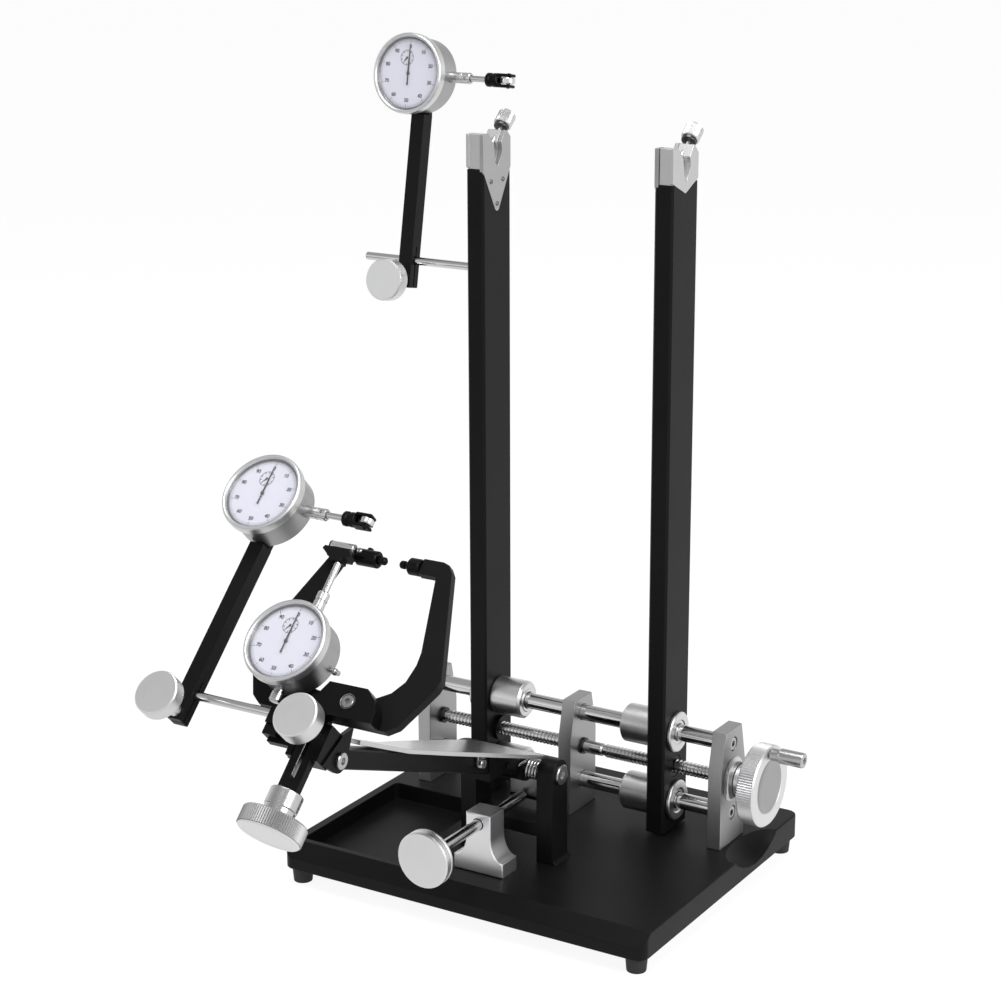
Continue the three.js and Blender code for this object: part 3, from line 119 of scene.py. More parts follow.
soft_lamp("lamp_right", (1.9, -0.5, 1.3), (0, -0.1, 0.25), 1.3, 26)
soft_lamp("lamp_top", (0.1, -0.3, 2.3), (0, -0.1, 0.2), 1.6, 32)
soft_lamp("lamp_front", (-1.3, -1.9, 1.1), (0, -0.1, 0.25), 1.6, 5, False)

world = bpy.data.worlds.new("studio")
scene.world = world
world.use_nodes = True
world.node_tree.nodes.clear()
sky = Socket(world.node_tree)
seen = sky.make("ShaderNodeLightPath").output.node
seen_white = Socket(world.node_tree, seen.outputs["Is Camera Ray"]) + Socket(
    world.node_tree, seen.outputs["Is Transmission Ray"])
mirrored = Socket(world.node_tree, seen.outputs["Is Glossy Ray"])
height = sky.make("ShaderNodeTexCoord", output="Generated")
height = sky.make("ShaderNodeSeparateXYZ", inputs={0: height}, output="Z")
overhead = sky.make("ShaderNodeValToRGB", {"stops": [(0.12, 1.0), (0.75, 0.3)]}, {0: height})
strength = seen_white.math("MAXIMUM", mirrored * overhead)
strength = strength.math("MAXIMUM", 0.42)
background = sky.make("ShaderNodeBackground", inputs={"Color": (1, 1, 1, 1), "Strength": strength})
sky.make("ShaderNodeOutputWorld", inputs={0: background})

floor_level = -0.0115
floor_mesh = bpy.data.meshes.new("floor")
floor_bm = bmesh.new()
bmesh.ops.create_circle(floor_bm, cap_ends=True, segments=64, radius=14)
bmesh.ops.translate(floor_bm, vec=(0, 0, floor_level - 0.0002), verts=floor_bm.verts)
floor_bm.to_mesh(floor_mesh)
floor_bm.free()
floor = bpy.data.objects.new("floor", floor_mesh)
scene.collection.objects.link(floor)
paper = bpy.data.materials.new("paper_sweep")
paper.use_nodes = True
paper.node_tree.nodes.clear()
sheet = Socket(paper.node_tree)
seen = sheet.make("ShaderNodeLightPath").output.node
by_camera = Socket(paper.node_tree, seen.outputs["Is Camera Ray"]) + Socket(
    paper.node_tree, seen.outputs["Is Transmission Ray"])
mirrored = Socket(paper.node_tree, seen.outputs["Is Glossy Ray"])
along = sheet.make("ShaderNodeTexCoord", output="Object")
along = sheet.make("ShaderNodeSeparateXYZ", inputs={0: along}, output="Y")
behind = sheet.make("ShaderNodeValToRGB", {"stops": [(0.0, 0.34), (1.0, 0.95)]}, {0: along * 0.8 + 1.0})
glow = sheet.make("ShaderNodeEmission", inputs={"Color": (1, 1, 1, 1), "Strength": (by_camera * 1.07).math(
    "MAXIMUM", mirrored * behind)})
matt = sheet.make("ShaderNodeBsdfDiffuse", inputs={"Color": (0.9, 0.9, 0.9, 1)})
share = by_camera.math("MAXIMUM", mirrored) * 0.86
blended = sheet.make("ShaderNodeMixShader", inputs={0: share, 1: matt, 2: glow})
sheet.make("ShaderNodeOutputMaterial", inputs={0: blended})
floor_mesh.materials.append(paper)


# Base plate. A thick steel plate with a sloping front, powder coated in satin black.
# A tray is milled in its front left, and a scoop in its right edge clears the fingers.
mm = 0.001
in_millimetres = Matrix.Scale(1 / mm, 4)
ALL_ROUND = 2 * math.pi


def new_finish(name):
    material = bpy.data.materials.new(name)
    material.use_nodes = True
    return material, Socket(material.node_tree), material.node_tree.nodes["Principled BSDF"]


def feed(shader, name, value):
    if isinstance(value, Socket):
        value.tree.links.new(value.output, shader.inputs[name])
    else:
        shader.inputs[name].default_value = value


def patterned(paint, place=None, scale=(1, 1, 1)):
    """Object coordinates in a piece's own frame, stretched by a scale for each axis"""
    coordinates = paint.make("ShaderNodeTexCoord", output="Object")
    if place is not None:
        back = place.copy()
        back.translation = place.translation * mm
        back = back.inverted()
        coordinates = paint.make("ShaderNodeMapping", inputs={
            "Vector": coordinates, "Location": back.translation, "Rotation": back.to_euler()})
    return paint.make("ShaderNodeMapping", inputs={"Vector": coordinates, "Scale": scale})


def speckle(paint, coordinates, scale, detail=3.0):
    return paint.make("ShaderNodeTexNoise", inputs={"Vector": coordinates, "Scale": scale, "Detail": detail})


def between(paint, share, dark, light):
    return paint.make("ShaderNodeMix", {"data_type": "RGBA"}, {0: share, 6: (*dark, 1), 7: (*light, 1)}, 2)


def roughen(paint, shader, height, strength, depth):
    feed(shader, "Normal", paint.make("ShaderNodeBump", inputs={
        "Strength": strength, "Distance": depth, "Height": height}))


def black_coat(name, dark=(0.0035, 0.0035, 0.0038), light=(0.0062, 0.0062, 0.0065), rough=0.4):
    material, paint, shader = new_finish(name)
    coordinates = patterned(paint)
    fine = speckle(paint, coordinates, 1500.0, 2.0)
    broad = speckle(paint, coordinates, 22.0, 4.0)
    feed(shader, "Base Color", between(paint, broad, dark, light))
    feed(shader, "Roughness", broad * 0.14 + fine * 0.1 + (rough - 0.12))
    feed(shader, "Specular IOR Level", 0.13)
    roughen(paint, shader, fine, 0.3, 0.00004)
    return material


def copy_of(node):
    """A CAD node's shape in millimetres, with its triangles merged into faces"""
    bm = bmesh.new()
    bm.from_mesh(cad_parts[node].data)
    bmesh.ops.transform(bm, matrix=in_millimetres, verts=bm.verts)
    bmesh.ops.remove_doubles(bm, verts=bm.verts, dist=0.003)
    bmesh.ops.dissolve_limit(bm, angle_limit=math.radians(1), verts=bm.verts, edges=bm.edges, delimit=set())
    return bm


def soften(bm, width, least=50, segments=2):
    """Rounds the edges that turn by more than the least angle"""
    edges = [edge for edge in bm.edges if edge.calc_face_angle(0) > math.radians(least)]
    bmesh.ops.bevel(bm, geom=edges, offset=width, offset_type="OFFSET", affect="EDGES", segments=segments,
                    profile=0.5, material=-1, clamp_overlap=True)
    return bm


def make(name, bm, body, material, nodes=(), place=None, sharp=32):
    """The finished piece, moved from millimetres in its own frame to its place on the stand"""
    bmesh.ops.transform(bm, matrix=Matrix.Scale(mm, 4) @ (place or Matrix.Identity(4)), verts=bm.verts)
    mesh = bpy.data.meshes.new(name)
    bm.to_mesh(mesh)
    bm.free()
    mesh.shade_smooth()
    mesh.set_sharp_from_angle(angle=math.radians(sharp))
    mesh.materials.append(material)
    piece = bpy.data.objects.new(name, mesh)
    scene.collection.objects.link(piece)
    flats = piece.modifiers.new("flat_faces", "WEIGHTED_NORMAL")
    flats.keep_sharp = True
    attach(piece, body)
    if nodes:
        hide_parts(*nodes)
    return piece


plate_coat = black_coat("plate_coat")
plate = copy_of("base_plate")
foot_top = 0.2
bmesh.ops.bisect_plane(plate, geom=[*plate.verts, *plate.edges, *plate.faces], dist=0.0005,
                       plane_co=(0, 0, foot_top), plane_no=(0, 0, -1), clear_outer=True)
bmesh.ops.holes_fill(plate, edges=[edge for edge in plate.edges if edge.is_boundary], sides=0)
underside = [vert for vert in plate.verts if vert.co.z < foot_top * 1.5]
bmesh.ops.translate(plate, vec=(0, 0, -foot_top), verts=underside)
make("base_plate_body", soften(plate, 0.7, 38), "base", plate_coat, ["base_plate"])


# Feet. Four moulded rubber feet with a slight taper, pressed to the plate's underside.
# They lift the plate about 11 mm off the bench.
def spun(profile, axis="z", centre=(0, 0), steps=64, rounding=0.0, least=25):
    """A turned piece from (radius, place along the axis) points, in millimetres"""
    bm = bmesh.new()
    points = [bm.verts.new((radius, 0, along)) for radius, along in profile]
    edges = [bm.edges.new(pair) for pair in zip(points, points[1:])]
    if profile[0][0] > 0 and profile[-1][0] > 0:
        edges.append(bm.edges.new((points[-1], points[0])))
    bmesh.ops.spin(bm, geom=[*points, *edges], cent=(0, 0, 0), axis=(0, 0, 1), dvec=(0, 0, 0),
                   angle=ALL_ROUND, space=Matrix.Identity(4), steps=steps, use_merge=True,
                   use_normal_flip=False, use_duplicate=False)
    bmesh.ops.remove_doubles(bm, verts=bm.verts, dist=0.0005)
    bmesh.ops.recalc_face_normals(bm, faces=bm.faces)
    if rounding:
        soften(bm, rounding, least)
    return laid(bm, axis, centre)


def laid(bm, axis, centre):
    """Turns a shape made along +Z to lie along an axis, at its place across that axis"""
    if axis == "x":
        turn = Matrix.Translation((0, *centre)) @ Matrix.Rotation(math.pi / 2, 4, "Y")
    elif axis == "y":
        turn = Matrix.Translation((centre[0], 0, centre[1])) @ Matrix.Rotation(-math.pi / 2, 4, "X")
    else:
        turn = Matrix.Translation((*centre, 0))
    bmesh.ops.transform(bm, matrix=turn, verts=bm.verts)
    return bm


def joined(*shapes):
    whole = bmesh.new()
    for shape in shapes:
        held = bpy.data.meshes.new("held")
        shape.to_mesh(held)
        shape.free()
        whole.from_mesh(held)
        bpy.data.meshes.remove(held)
    return whole


rubber, paint, shader = new_finish("rubber")
grains = speckle(paint, patterned(paint), 900.0)
feed(shader, "Base Color", between(paint, grains, (0.01, 0.01, 0.01), (0.022, 0.022, 0.022)))
feed(shader, "Roughness", grains * 0.2 + 0.62)
roughen(paint, shader, grains, 0.5, 0.00008)
foot_profile = [(0, -11.5), (6.8, -11.5), (7.8, -0.1), (0, -0.1)]
foot_places = [(-137.5, -160), (137.5, -160), (-137.5, 65), (137.5, 65)]
feet = [spun(foot_profile, "z", place, 40, 0.6) for place in foot_places]
make("rubber_feet", joined(*feet), "base", rubber)


# End plates and middle plate. Cut from thick aluminium bar with sloping shoulders, ground
# and satin plated. They stand on the plate and hold the guide rods and the lead screw.
def satin(name, grain=(1, 1, 1), dark=0.5, light=0.62, rough=0.3, place=None, glint=0.1):
    """Fine grain that is long where its scale is small"""
    material, paint, shader = new_finish(name)
    lines = speckle(paint, patterned(paint, place, tuple(900 * share for share in grain)), 1.0, 3.0)
    cloud = speckle(paint, patterned(paint), 30.0, 2.0)
    tone = lines * 0.6 + cloud * 0.4
    feed(shader, "Base Color", between(paint, tone, (dark, dark, dark * 1.01), (light, light, light * 1.012)))
    feed(shader, "Metallic", 1.0)
    feed(shader, "Roughness", tone * glint + (rough - glint / 2))
    roughen(paint, shader, lines, 0.07, 0.00003)
    return material


plate_satin = satin("plate_satin", (1, 1, 0.05), 0.36, 0.45, 0.38)
for node in ("end_plate_left", "end_plate_middle", "end_plate_right"):
    make(f"{node}_bar", soften(copy_of(node), 0.5), "base", plate_satin, [node])


# Guide rods. Two ground steel rods of 12 mm, polished bright, run through the plates.
# A socket screw in each end, sunk in the end plate, holds them.
def bright(name, tone=0.72, rough=0.1, place=None):
    """Polished steel with a faint cloud of fine marks"""
    material, paint, shader = new_finish(name)
    cloud = speckle(paint, patterned(paint, place), 60.0, 4.0)
    marks = speckle(paint, patterned(paint, place, (60, 1200, 1200)), 1.0, 2.0)
    feed(shader, "Base Color", between(paint, cloud, (tone * 0.92,) * 3, (tone, tone, tone * 1.01)))
    feed(shader, "Metallic", 1.0)
    feed(shader, "Roughness", marks * 0.03 + cloud * 0.04 + rough - 0.03)
    roughen(paint, shader, marks, 0.015, 0.00001)
    return material


def socket_head(radius, start, end, socket, depth, axis, centre, steps=48):
    """A screw's head with a hexagonal socket in its outer end"""
    height = abs(end - start)
    bm = spun([(0, 0), (radius, 0), (radius, height - 0.5), (radius - 0.5, height), (socket, height),
               (socket, height - depth), (0, height - depth)], steps=steps)
    for vert in bm.verts:
        reach = math.hypot(vert.co.x, vert.co.y)
        if abs(reach - socket) < 0.02:
            corner = math.atan2(vert.co.y, vert.co.x) % (math.pi / 3) - math.pi / 6
            share = math.cos(math.pi / 6) / math.cos(corner)
            vert.co.x *= share
            vert.co.y *= share
    if end < start:
        bmesh.ops.rotate(bm, cent=(0, 0, 0), matrix=Matrix.Rotation(math.pi, 3, "X"), verts=bm.verts)
    bmesh.ops.translate(bm, vec=(0, 0, start), verts=bm.verts)
    return laid(bm, axis, centre)


def round_bar(axis, radius, low, high, centre, rounding=0.3, steps=64):
    return spun([(0, low), (radius, low), (radius, high), (0, high)], axis, centre, steps, rounding)


rod_bright = bright("rod_bright")
screw_steel = bright("screw_steel", 0.5, 0.24)
rod_levels = {"upper": 94.3, "lower": 41.3}
for label, level in rod_levels.items():
    make(f"guide_rod_{label}_bar", round_bar("x", 6, -121.4, 121.4, (0, level)), "base", rod_bright,
         [f"guide_rod_{label}"])
    heads = [socket_head(5, side * 125.3, side * 128.4, 2.5, 2.2, "x", (0, level)) for side in (-1, 1)]
    make(f"guide_rod_{label}_screws", joined(*heads), "base", screw_steel)


# Bearing ring. A turned flange with a hollow flare, screwed to the right end plate.
# The lead screw runs through it to the handwheel.
screw_line = (0, 67.7)
flare = [(16.2 - 3.6 * math.sin(math.radians(turn)), 132.6 - 3.4 * math.cos(math.radians(turn)))
         for turn in range(0, 91, 15)]
ring_metal = bright("ring_metal", 0.72, 0.3)
ring_shape = spun([(4.9, 129.2), *flare, (12.6, 134), (4.9, 134)], "x", screw_line, 72)
make("bearing_ring", ring_shape, "base", ring_metal)


# Lead screw. A steel screw of 10 mm with a trapezoid thread, left-handed on the left and
# right-handed on the right. Two blackened collars at its plates keep it in place.
def threaded(axis, centre, start, turns, pitch, root, crest, hand, steps=28):
    """A thread swept as a helix from one tooth's outline"""
    tooth = [(root, 0), (root, 0.2), (crest, 0.4), (crest, 0.68), (root, 0.88), (root, 1)]
    bm = bmesh.new()
    points = [bm.verts.new((radius, 0, share * pitch)) for radius, share in tooth]
    edges = [bm.edges.new(pair) for pair in zip(points, points[1:])]
    bmesh.ops.spin(bm, geom=[*points, *edges], cent=(0, 0, 0), axis=(0, 0, 1), dvec=(0, 0, pitch / steps),
                   angle=hand * ALL_ROUND * turns, space=Matrix.Identity(4), steps=steps * turns,
                   use_merge=False, use_normal_flip=False, use_duplicate=False)
    bmesh.ops.remove_doubles(bm, verts=bm.verts, dist=0.01)
    bmesh.ops.recalc_face_normals(bm, faces=bm.faces)
    bmesh.ops.translate(bm, vec=(0, 0, start), verts=bm.verts)
    return laid(bm, axis, centre)


lead_bright = bright("lead_bright", 0.66, 0.2)
shaft = spun([(0, -128.8), (4, -128.8), (4, -8.2), (4.8, -8.2), (4.8, 22), (4, 23), (4, 149.8), (0, 149.8)],
             "x", screw_line, 48, 0.2)
collars = [round_bar("x", 6.2, low, low + 1.6, screw_line, 0.3, 48) for low in (5.6, -117.3)]
pitch, root, crest = 3, 3.9, 5
threads = [threaded("x", screw_line, start, turns, pitch, root, crest, hand)
           for start, turns, hand in ((23, 30, 1), (-113, 34, -1))]
make("lead_screw_shaft", joined(shaft, *threads), "screw", lead_bright, ["lead_screw"], sharp=40)
collar_dark = bright("lead_collar_dark", 0.06, 0.34)
make("lead_screw_collars", joined(*collars), "screw", collar_dark)


# Handwheel. Turned from steel, nickel plated, with a dished face, a straight knurl over
# its rim and a hub on the lead screw. A pin in its face carries the grip.
def lathe_marks(name, axis, centre, dark=0.56, light=0.68, rough=0.28, place=None, spacing=2600.0):
    """Turned metal: rings that run round an axis"""
    material, paint, shader = new_finish(name)
    coordinates = patterned(paint, place)
    parts = [paint.make("ShaderNodeSeparateXYZ", inputs={0: coordinates}, output=out) for out in "XYZ"]
    along = "xyz".index(axis)
    first, second = [parts[i] - centre[k] * mm for k, i in enumerate(i for i in range(3) if i != along)]
    reach = (first * first + second * second).math("SQRT")
    rings = paint.make("ShaderNodeCombineXYZ", inputs={0: reach * spacing, 1: parts[along] * spacing})
    grooves = speckle(paint, rings, 1.0, 3.0)
    broad = speckle(paint, coordinates, 45.0, 2.0)
    tone = grooves * 0.55 + broad * 0.45
    feed(shader, "Base Color", between(paint, tone, (dark, dark, dark * 1.01), (light, light, light * 1.01)))
    feed(shader, "Metallic", 1.0)
    feed(shader, "Roughness", tone * 0.1 + rough - 0.03)
    roughen(paint, shader, grooves, 0.06, 0.00002)
    return material


def knurled(profile, radius, low, high, teeth, depth, axis, centre):
    """A turned piece whose rim carries straight teeth between two places along its axis"""
    bm = spun(profile, steps=2 * teeth)
    step = ALL_ROUND / (2 * teeth)
    for vert in bm.verts:
        reach = math.hypot(vert.co.x, vert.co.y)
        count = round(math.atan2(vert.co.y, vert.co.x) / step)
        if abs(reach - radius) < 0.01 and low - 0.01 <= vert.co.z <= high + 0.01 and count % 2:
            share = 1 - depth / radius
            vert.co.x *= share
            vert.co.y *= share
    return laid(bm, axis, centre)


wheel_metal = lathe_marks("wheel_metal", "x", screw_line, 0.7, 0.82, 0.36)
# The dish's metal is painted darker than the rim: painted shade in the hollow of the dish.
bowl_painted_shade = lathe_marks("bowl_painted_shade", "x", screw_line, 0.34, 0.46, 0.3)
rim_radius, rim_start, rim_end = 29.9, 145.9, 156.6
wheel_profile = [(4.3, 134.1), (11.6, 134.1), (12, 134.5), (12, 147.9), (12.6, 148.5), (21, 148.5),
                 (21.5, 148), (21.5, 145.4), (22, 145), (29, 145), (rim_radius, rim_start),
                 (rim_radius, rim_end), (29.6, 157), (28.7, 158), (20.6, 158), (19.8, 157.4), (19.8, 150),
                 (4.3, 150)]
wheel = knurled(wheel_profile, rim_radius, rim_start, rim_end, 104, 0.7, "x", screw_line)
make("handwheel_body", wheel, "screw", wheel_metal, ["handwheel"], sharp=28)
bowl_radius, bowl_floor, bowl_depth = 19.9, 152.2, 5.2
bowl = [(bowl_radius * share, bowl_floor + bowl_depth * share ** 2)
        for share in (0.97, 0.9, 0.8, 0.7, 0.6, 0.5, 0.4, 0.3, 0.2, 0.1)]
bowl_shape = spun([(0, 150.2), (bowl_radius, 150.2), (bowl_radius, 157.5), *bowl, (0, bowl_floor)], "x",
                  screw_line, 96)
make("handwheel_bowl", bowl_shape, "screw", bowl_painted_shade, sharp=50)
grip_line = (0, 92.7)
pin_steel = bright("pin_steel", 0.6, 0.16)
make("handwheel_pin", round_bar("x", 2, 157.5, 180.4, grip_line, 0.3, 32), "screw", pin_steel)


# Grip. A turned steel sleeve that spins on the pin, narrower at the wheel, with a rounded end.
# A small hexagonal socket in its end takes the key that fixes it.
grip_bright = bright("grip_bright", 0.55, 0.24)
sleeve = spun([(2.5, 159), (4.3, 159), (4.6, 159.4), (4.6, 164.6), (5, 165.6), (5.6, 166.2), (5.6, 182.9),
               (5.3, 183.7), (4.5, 184), (2.4, 184), (2.4, 181.6), (2.5, 181)], "x", grip_line, 56)
end_socket = socket_head(2.45, 182.1, 183.4, 1.5, 1.1, "x", grip_line)
make("handwheel_grip_sleeve", joined(sleeve, end_socket), "grip", grip_bright, ["handwheel_grip"])


# Uprights. Two tall bars of solid steel with planed edges, powder coated in satin black.
# They slide on the guide rods, and blackened nuts on the lead screw move them together.
upright_coat = black_coat("upright_coat", rough=0.42)
nut_black = black_coat("nut_black", rough=0.34)
sides = ((-1, "left"), (1, "right"))
for side, label in sides:
    carriage = f"carriage_{label}"
    make(f"upright_{label}_bar", soften(copy_of(f"upright_{label}"), 0.35), carriage, upright_coat,
         [f"upright_{label}"])
    make(f"lead_nut_{label}_body", soften(copy_of(f"lead_nut_{label}"), 0.3), carriage, nut_black,
         [f"lead_nut_{label}"])


# Sliding collars. Linear bushes turned from aluminium, pressed through the uprights.
# Each has a long sleeve inside and a chamfered ring outside, round a polished bore.
for label, level in rod_levels.items():
    line = (0, level)
    collar_metal = lathe_marks(f"collar_metal_{label}", "x", line, 0.64, 0.77, 0.3)
    sleeve_profile = [(6.5, 42), (8.6, 42), (8.9, 42.5), (12.4, 42.5), (14.25, 44.2), (14.25, 67.4),
                      (10.6, 67.7), (10.6, 82.7), (15, 82.7), (15, 84.6), (14.2, 85.4), (9.4, 85.4),
                      (8.6, 84.6), (6.5, 84.6)]
    for side, name in sides:
        bush = spun(sleeve_profile, "x", line, 72, 0.25)
        if side < 0:
            bmesh.ops.rotate(bush, cent=(0, 0, 0), matrix=Matrix.Rotation(math.pi, 3, "Z"), verts=bush.verts)
        make(f"slide_collar_{label}_{name}_bush", bush, f"carriage_{name}", collar_metal,
             [f"slide_collar_{label}_{name}"])


# Dropouts. A milled cap with a short vee skirt outside and a long vee plate inside, both
# satin plated, close the top of each upright. Three small screws hold the vee plate.
cap_satin = satin("cap_satin", (1, 1, 0.06), 0.58, 0.66, 0.46)
vee_satin = satin("vee_satin", (1, 0.06, 1), 0.42, 0.5, 0.44)
small_screw = bright("small_screw", 0.12, 0.34)
for side, label in sides:
    carriage = f"carriage_{label}"
    cap, vee = f"dropout_cap_{label}", f"dropout_plate_{label}"
    make(f"{cap}_block", soften(copy_of(cap), 0.3), carriage, cap_satin, [cap])
    make(f"{vee}_vee", soften(copy_of(vee), 0.2), carriage, vee_satin, [vee])
    heads = [socket_head(1.75, side * 67.9, side * 67.3, 0.8, 0.5, "x", place, 36)
             for place in ((-8, 483.3), (8, 483.3), (0, 466.8))]
    make(f"dropout_screws_{label}", joined(*heads), carriage, small_screw)


# Axle clamps. A knurled steel thumbscrew on a thin stem leans to the back in each cap.
# The ball at its end presses on the axle, and a dark collar sits under the head.
clamp_metal_dark = bright("clamp_collar_dark", 0.1, 0.3)
head_radius = 6.5
for side, label in sides:
    place = Matrix.Translation((side * 75.2, 3.2, 507)) @ Matrix.Rotation(math.radians(-50), 4, "X")
    clamp_metal = bright(f"clamp_metal_{label}", 0.7, 0.34, place)
    head = knurled([(0, 19.9), (5.7, 19.9), (head_radius, 20.7), (head_radius, 30.2), (5.7, 31), (2.2, 31),
                    (1.8, 30.6), (0, 30.6)], head_radius, 20.7, 30.2, 52, 0.28, "z", (0, 0))
    stem = round_bar("z", 1.5, 2.2, 18, (0, 0), 0.0, 28)
    ball = bmesh.new()
    bmesh.ops.create_uvsphere(ball, u_segments=32, v_segments=20, radius=2.8)
    make(f"axle_clamp_{label}_screw", joined(head, stem, ball), f"clamp_{label}", clamp_metal,
         [f"axle_clamp_{label}"], place)
    ring = round_bar("z", 5.4, 17.5, 19.85, (0, 0), 0.4, 48)
    make(f"axle_clamp_{label}_collar", ring, f"clamp_{label}", clamp_metal_dark, place=place)


# Adjuster. A milled aluminium block with a flared foot guides a polished screw, whose
# round nose pushes the swing arm's lug. Its knob is turned, with a ring cut in its rim.
block_satin = satin("block_satin", (0.06, 1, 1), 0.8, 0.92, 0.36)
adjuster_line = (0, 55.5)
make("adjuster_block_body", soften(copy_of("adjuster_block"), 0.4, 55), "base", block_satin,
     ["adjuster_block"])
adjuster_bright = bright("adjuster_bright", 0.62, 0.18)
shank_radius, nose_root = 4, -81
leans = [math.radians(angle) for angle in range(0, 90, 15)]
nose = [(shank_radius * math.cos(lean), nose_root + shank_radius * math.sin(lean)) for lean in leans]
screw = spun([(0, -206.2), (shank_radius, -206.2), *nose, (0, nose_root + shank_radius)], "y",
             adjuster_line, 48)
make("adjuster_screw_shank", screw, "adjuster", adjuster_bright, ["adjuster_screw"])
adjuster_face = lathe_marks("adjuster_face", "y", adjuster_line, 0.72, 0.84, 0.38)
knob = spun([(4.4, -202), (18.8, -202), (20, -203), (20, -204.4), (19.6, -204.7), (19.6, -205.2),
             (20, -205.5), (20, -210), (19, -211), (0, -211), (0, -206.5), (4.4, -206.5)], "y",
            adjuster_line, 96, 0.2, 30)
make("adjuster_knob_disc", knob, "adjuster_wheel", adjuster_face, ["adjuster_knob"])


# Yoke. Two black steel posts with round tops and a cross bar carry the swing arm's
# pivot. They stand on the plate, flared a little at the foot.
yoke_coat = black_coat("yoke_coat")
make("yoke_posts", soften(copy_of("yoke"), 0.6), "base", yoke_coat, ["yoke"])


# Pivot bolt. A steel shoulder bolt with a socket head at the right and a nut at the left.
# It passes through both posts and the arm's hub.
pivot_line = (-91, 83.5)
bolt = joined(round_bar("x", 4, -44.2, 38.6, pivot_line, 0.3, 40),
              socket_head(7.5, 38.3, 40.3, 3.2, 1.2, "x", pivot_line),
              spun([(0, -44.3), (7, -44.3), (7, -38.3), (0, -38.3)], "x", pivot_line, 6, 0.5, 40))
make("arm_pivot_bolt_body", bolt, "base", screw_steel, ["arm_pivot_bolt"])


# Torsion spring. Wound from 1.8 mm spring wire round the pivot beside the arm.
# One leg lies forward along the arm, and the other stands on the yoke's cross bar.
wire_bright = bright("wire_bright", 0.6, 0.2)
coil = bmesh.new()
wire_radius, coil_start, coil_radius = 0.9, 12.2, 6.6
coil_turns, turn_steps, turn_rise = 4.25, 24, 2.5
bmesh.ops.create_circle(coil, segments=12, radius=wire_radius)
bmesh.ops.transform(coil, verts=coil.verts, matrix=Matrix.Translation((coil_start, 0, coil_radius))
                    @ Matrix.Rotation(math.pi / 2, 4, "X"))
bmesh.ops.spin(coil, geom=[*coil.verts, *coil.edges], cent=(0, 0, 0), axis=(1, 0, 0),
               dvec=(turn_rise / turn_steps, 0, 0), angle=-ALL_ROUND * coil_turns, space=Matrix.Identity(4),
               steps=round(coil_turns * turn_steps), use_merge=False, use_normal_flip=False,
               use_duplicate=False)
bmesh.ops.recalc_face_normals(coil, faces=coil.faces)
bmesh.ops.translate(coil, vec=(0, *pivot_line), verts=coil.verts)
coil_end = coil_start + coil_turns * turn_rise
front_leg = round_bar("y", wire_radius, -105, -90.9, (coil_start, 90.1), 0.2, 12)
back_leg = round_bar("z", wire_radius, 47.3, 83.6, (coil_end, -84.4), 0.2, 12)
make("torsion_spring_wire", joined(coil, front_leg, back_leg), "base", wire_bright,
     ["torsion_spring"])


# Swing arm. A black steel bar from the pivot to the head, with a lug under its root that
# the adjuster pushes. A small plain screw sits in each side of the root.
arm_lean, arm_reach = 20.5, 246.5
arm_place = Matrix.Translation((0, *pivot_line)) @ Matrix.Rotation(math.radians(-arm_lean), 4, "X")
arm_coat = black_coat("arm_coat", (0.0022, 0.0022, 0.0024), (0.0045, 0.0045, 0.0048), 0.36)
make("swing_arm_bar", soften(copy_of("swing_arm"), 0.3, 60), "arm", arm_coat, ["swing_arm"])


# Lug pad. A ground steel plate on the arm's lug, which the adjuster's nose presses.
# It is bare metal, so that the nose slides on it freely.
def slab(size, centre):
    bm = bmesh.new()
    bmesh.ops.create_cube(bm, size=1, matrix=Matrix.Translation(centre) @ Matrix.Diagonal((*size, 1)))
    return bm


pad_steel = satin("pad_steel", (1, 1, 0.1), 0.2, 0.28, 0.36)
make("lug_pad", soften(slab((23.4, 1.5, 17.6), (0, -76.15, 63.7)), 0.4, 40), "arm", pad_steel)


# Lever plate. Folded from steel sheet, with its edges turned down, two hinge ears and
# bright brushed faces. It lies over the arm and tapers to its front tip.
lever_satin = satin("lever_satin", (1, 0.03, 1), 0.5, 0.68, 0.24, arm_place, 0.16)
make("lever_plate_sheet", soften(copy_of("lever_plate"), 0.3, 45), "lever", lever_satin,
     ["lever_plate"])


# Cross bolts. Short socket screws with plain heads carry the lever plate on the arm
# and the head on the arm's end.
def cross_bolt(name, nodes, at, level, radius, outer, head, thick, socket, depth):
    shape = joined(round_bar("x", radius, -outer - 0.3, outer + 0.3, (at, level), 0.0, 32),
                   round_bar("x", head, -outer - thick, -outer, (at, level), 0.4, 48),
                   socket_head(head, outer, outer + thick, socket, depth, "x", (at, level)))
    make(name, shape, "arm", screw_steel, nodes, arm_place)


cross_bolt("lever_pin_screw", ["lever_pin"], -69, 1.6, 2, 12.6, 3.6, 2.4, 1.8, 1.4)
cross_bolt("head_bolt_screw", ["head_bolt"], -arm_reach, 0, 3.2, 13.7, 5.4, 2.4, 2.6, 1.4)


# Head. A black milled bracket with two ears on the arm's end and a guide for the slide.
# A side plate holds the cross rod, which is a polished 6 mm rod.
head_y = pivot_line[0] - arm_reach * math.cos(math.radians(arm_lean))
head_z = pivot_line[1] + arm_reach * math.sin(math.radians(arm_lean))
head_turn = Matrix.Rotation(math.radians(-45.5), 4, "X")
head_place = Matrix.Translation((0, head_y, head_z)) @ head_turn @ Matrix.Translation((0, -14.3, 21))
head_coat = black_coat("head_coat", (0.0028, 0.0028, 0.003), (0.005, 0.005, 0.0053), 0.36)
make("head_bracket_body", soften(copy_of("head_bracket"), 0.35, 55), "head", head_coat,
     ["head_bracket"])
cross_bright = bright("cross_bright", 0.7, 0.12)
cross_line = (-8, -8.7)
make("cross_rod_bar", round_bar("x", 3, -112, -20.8, cross_line, 0.4, 48), "head", cross_bright,
     ["cross_rod"], head_place)


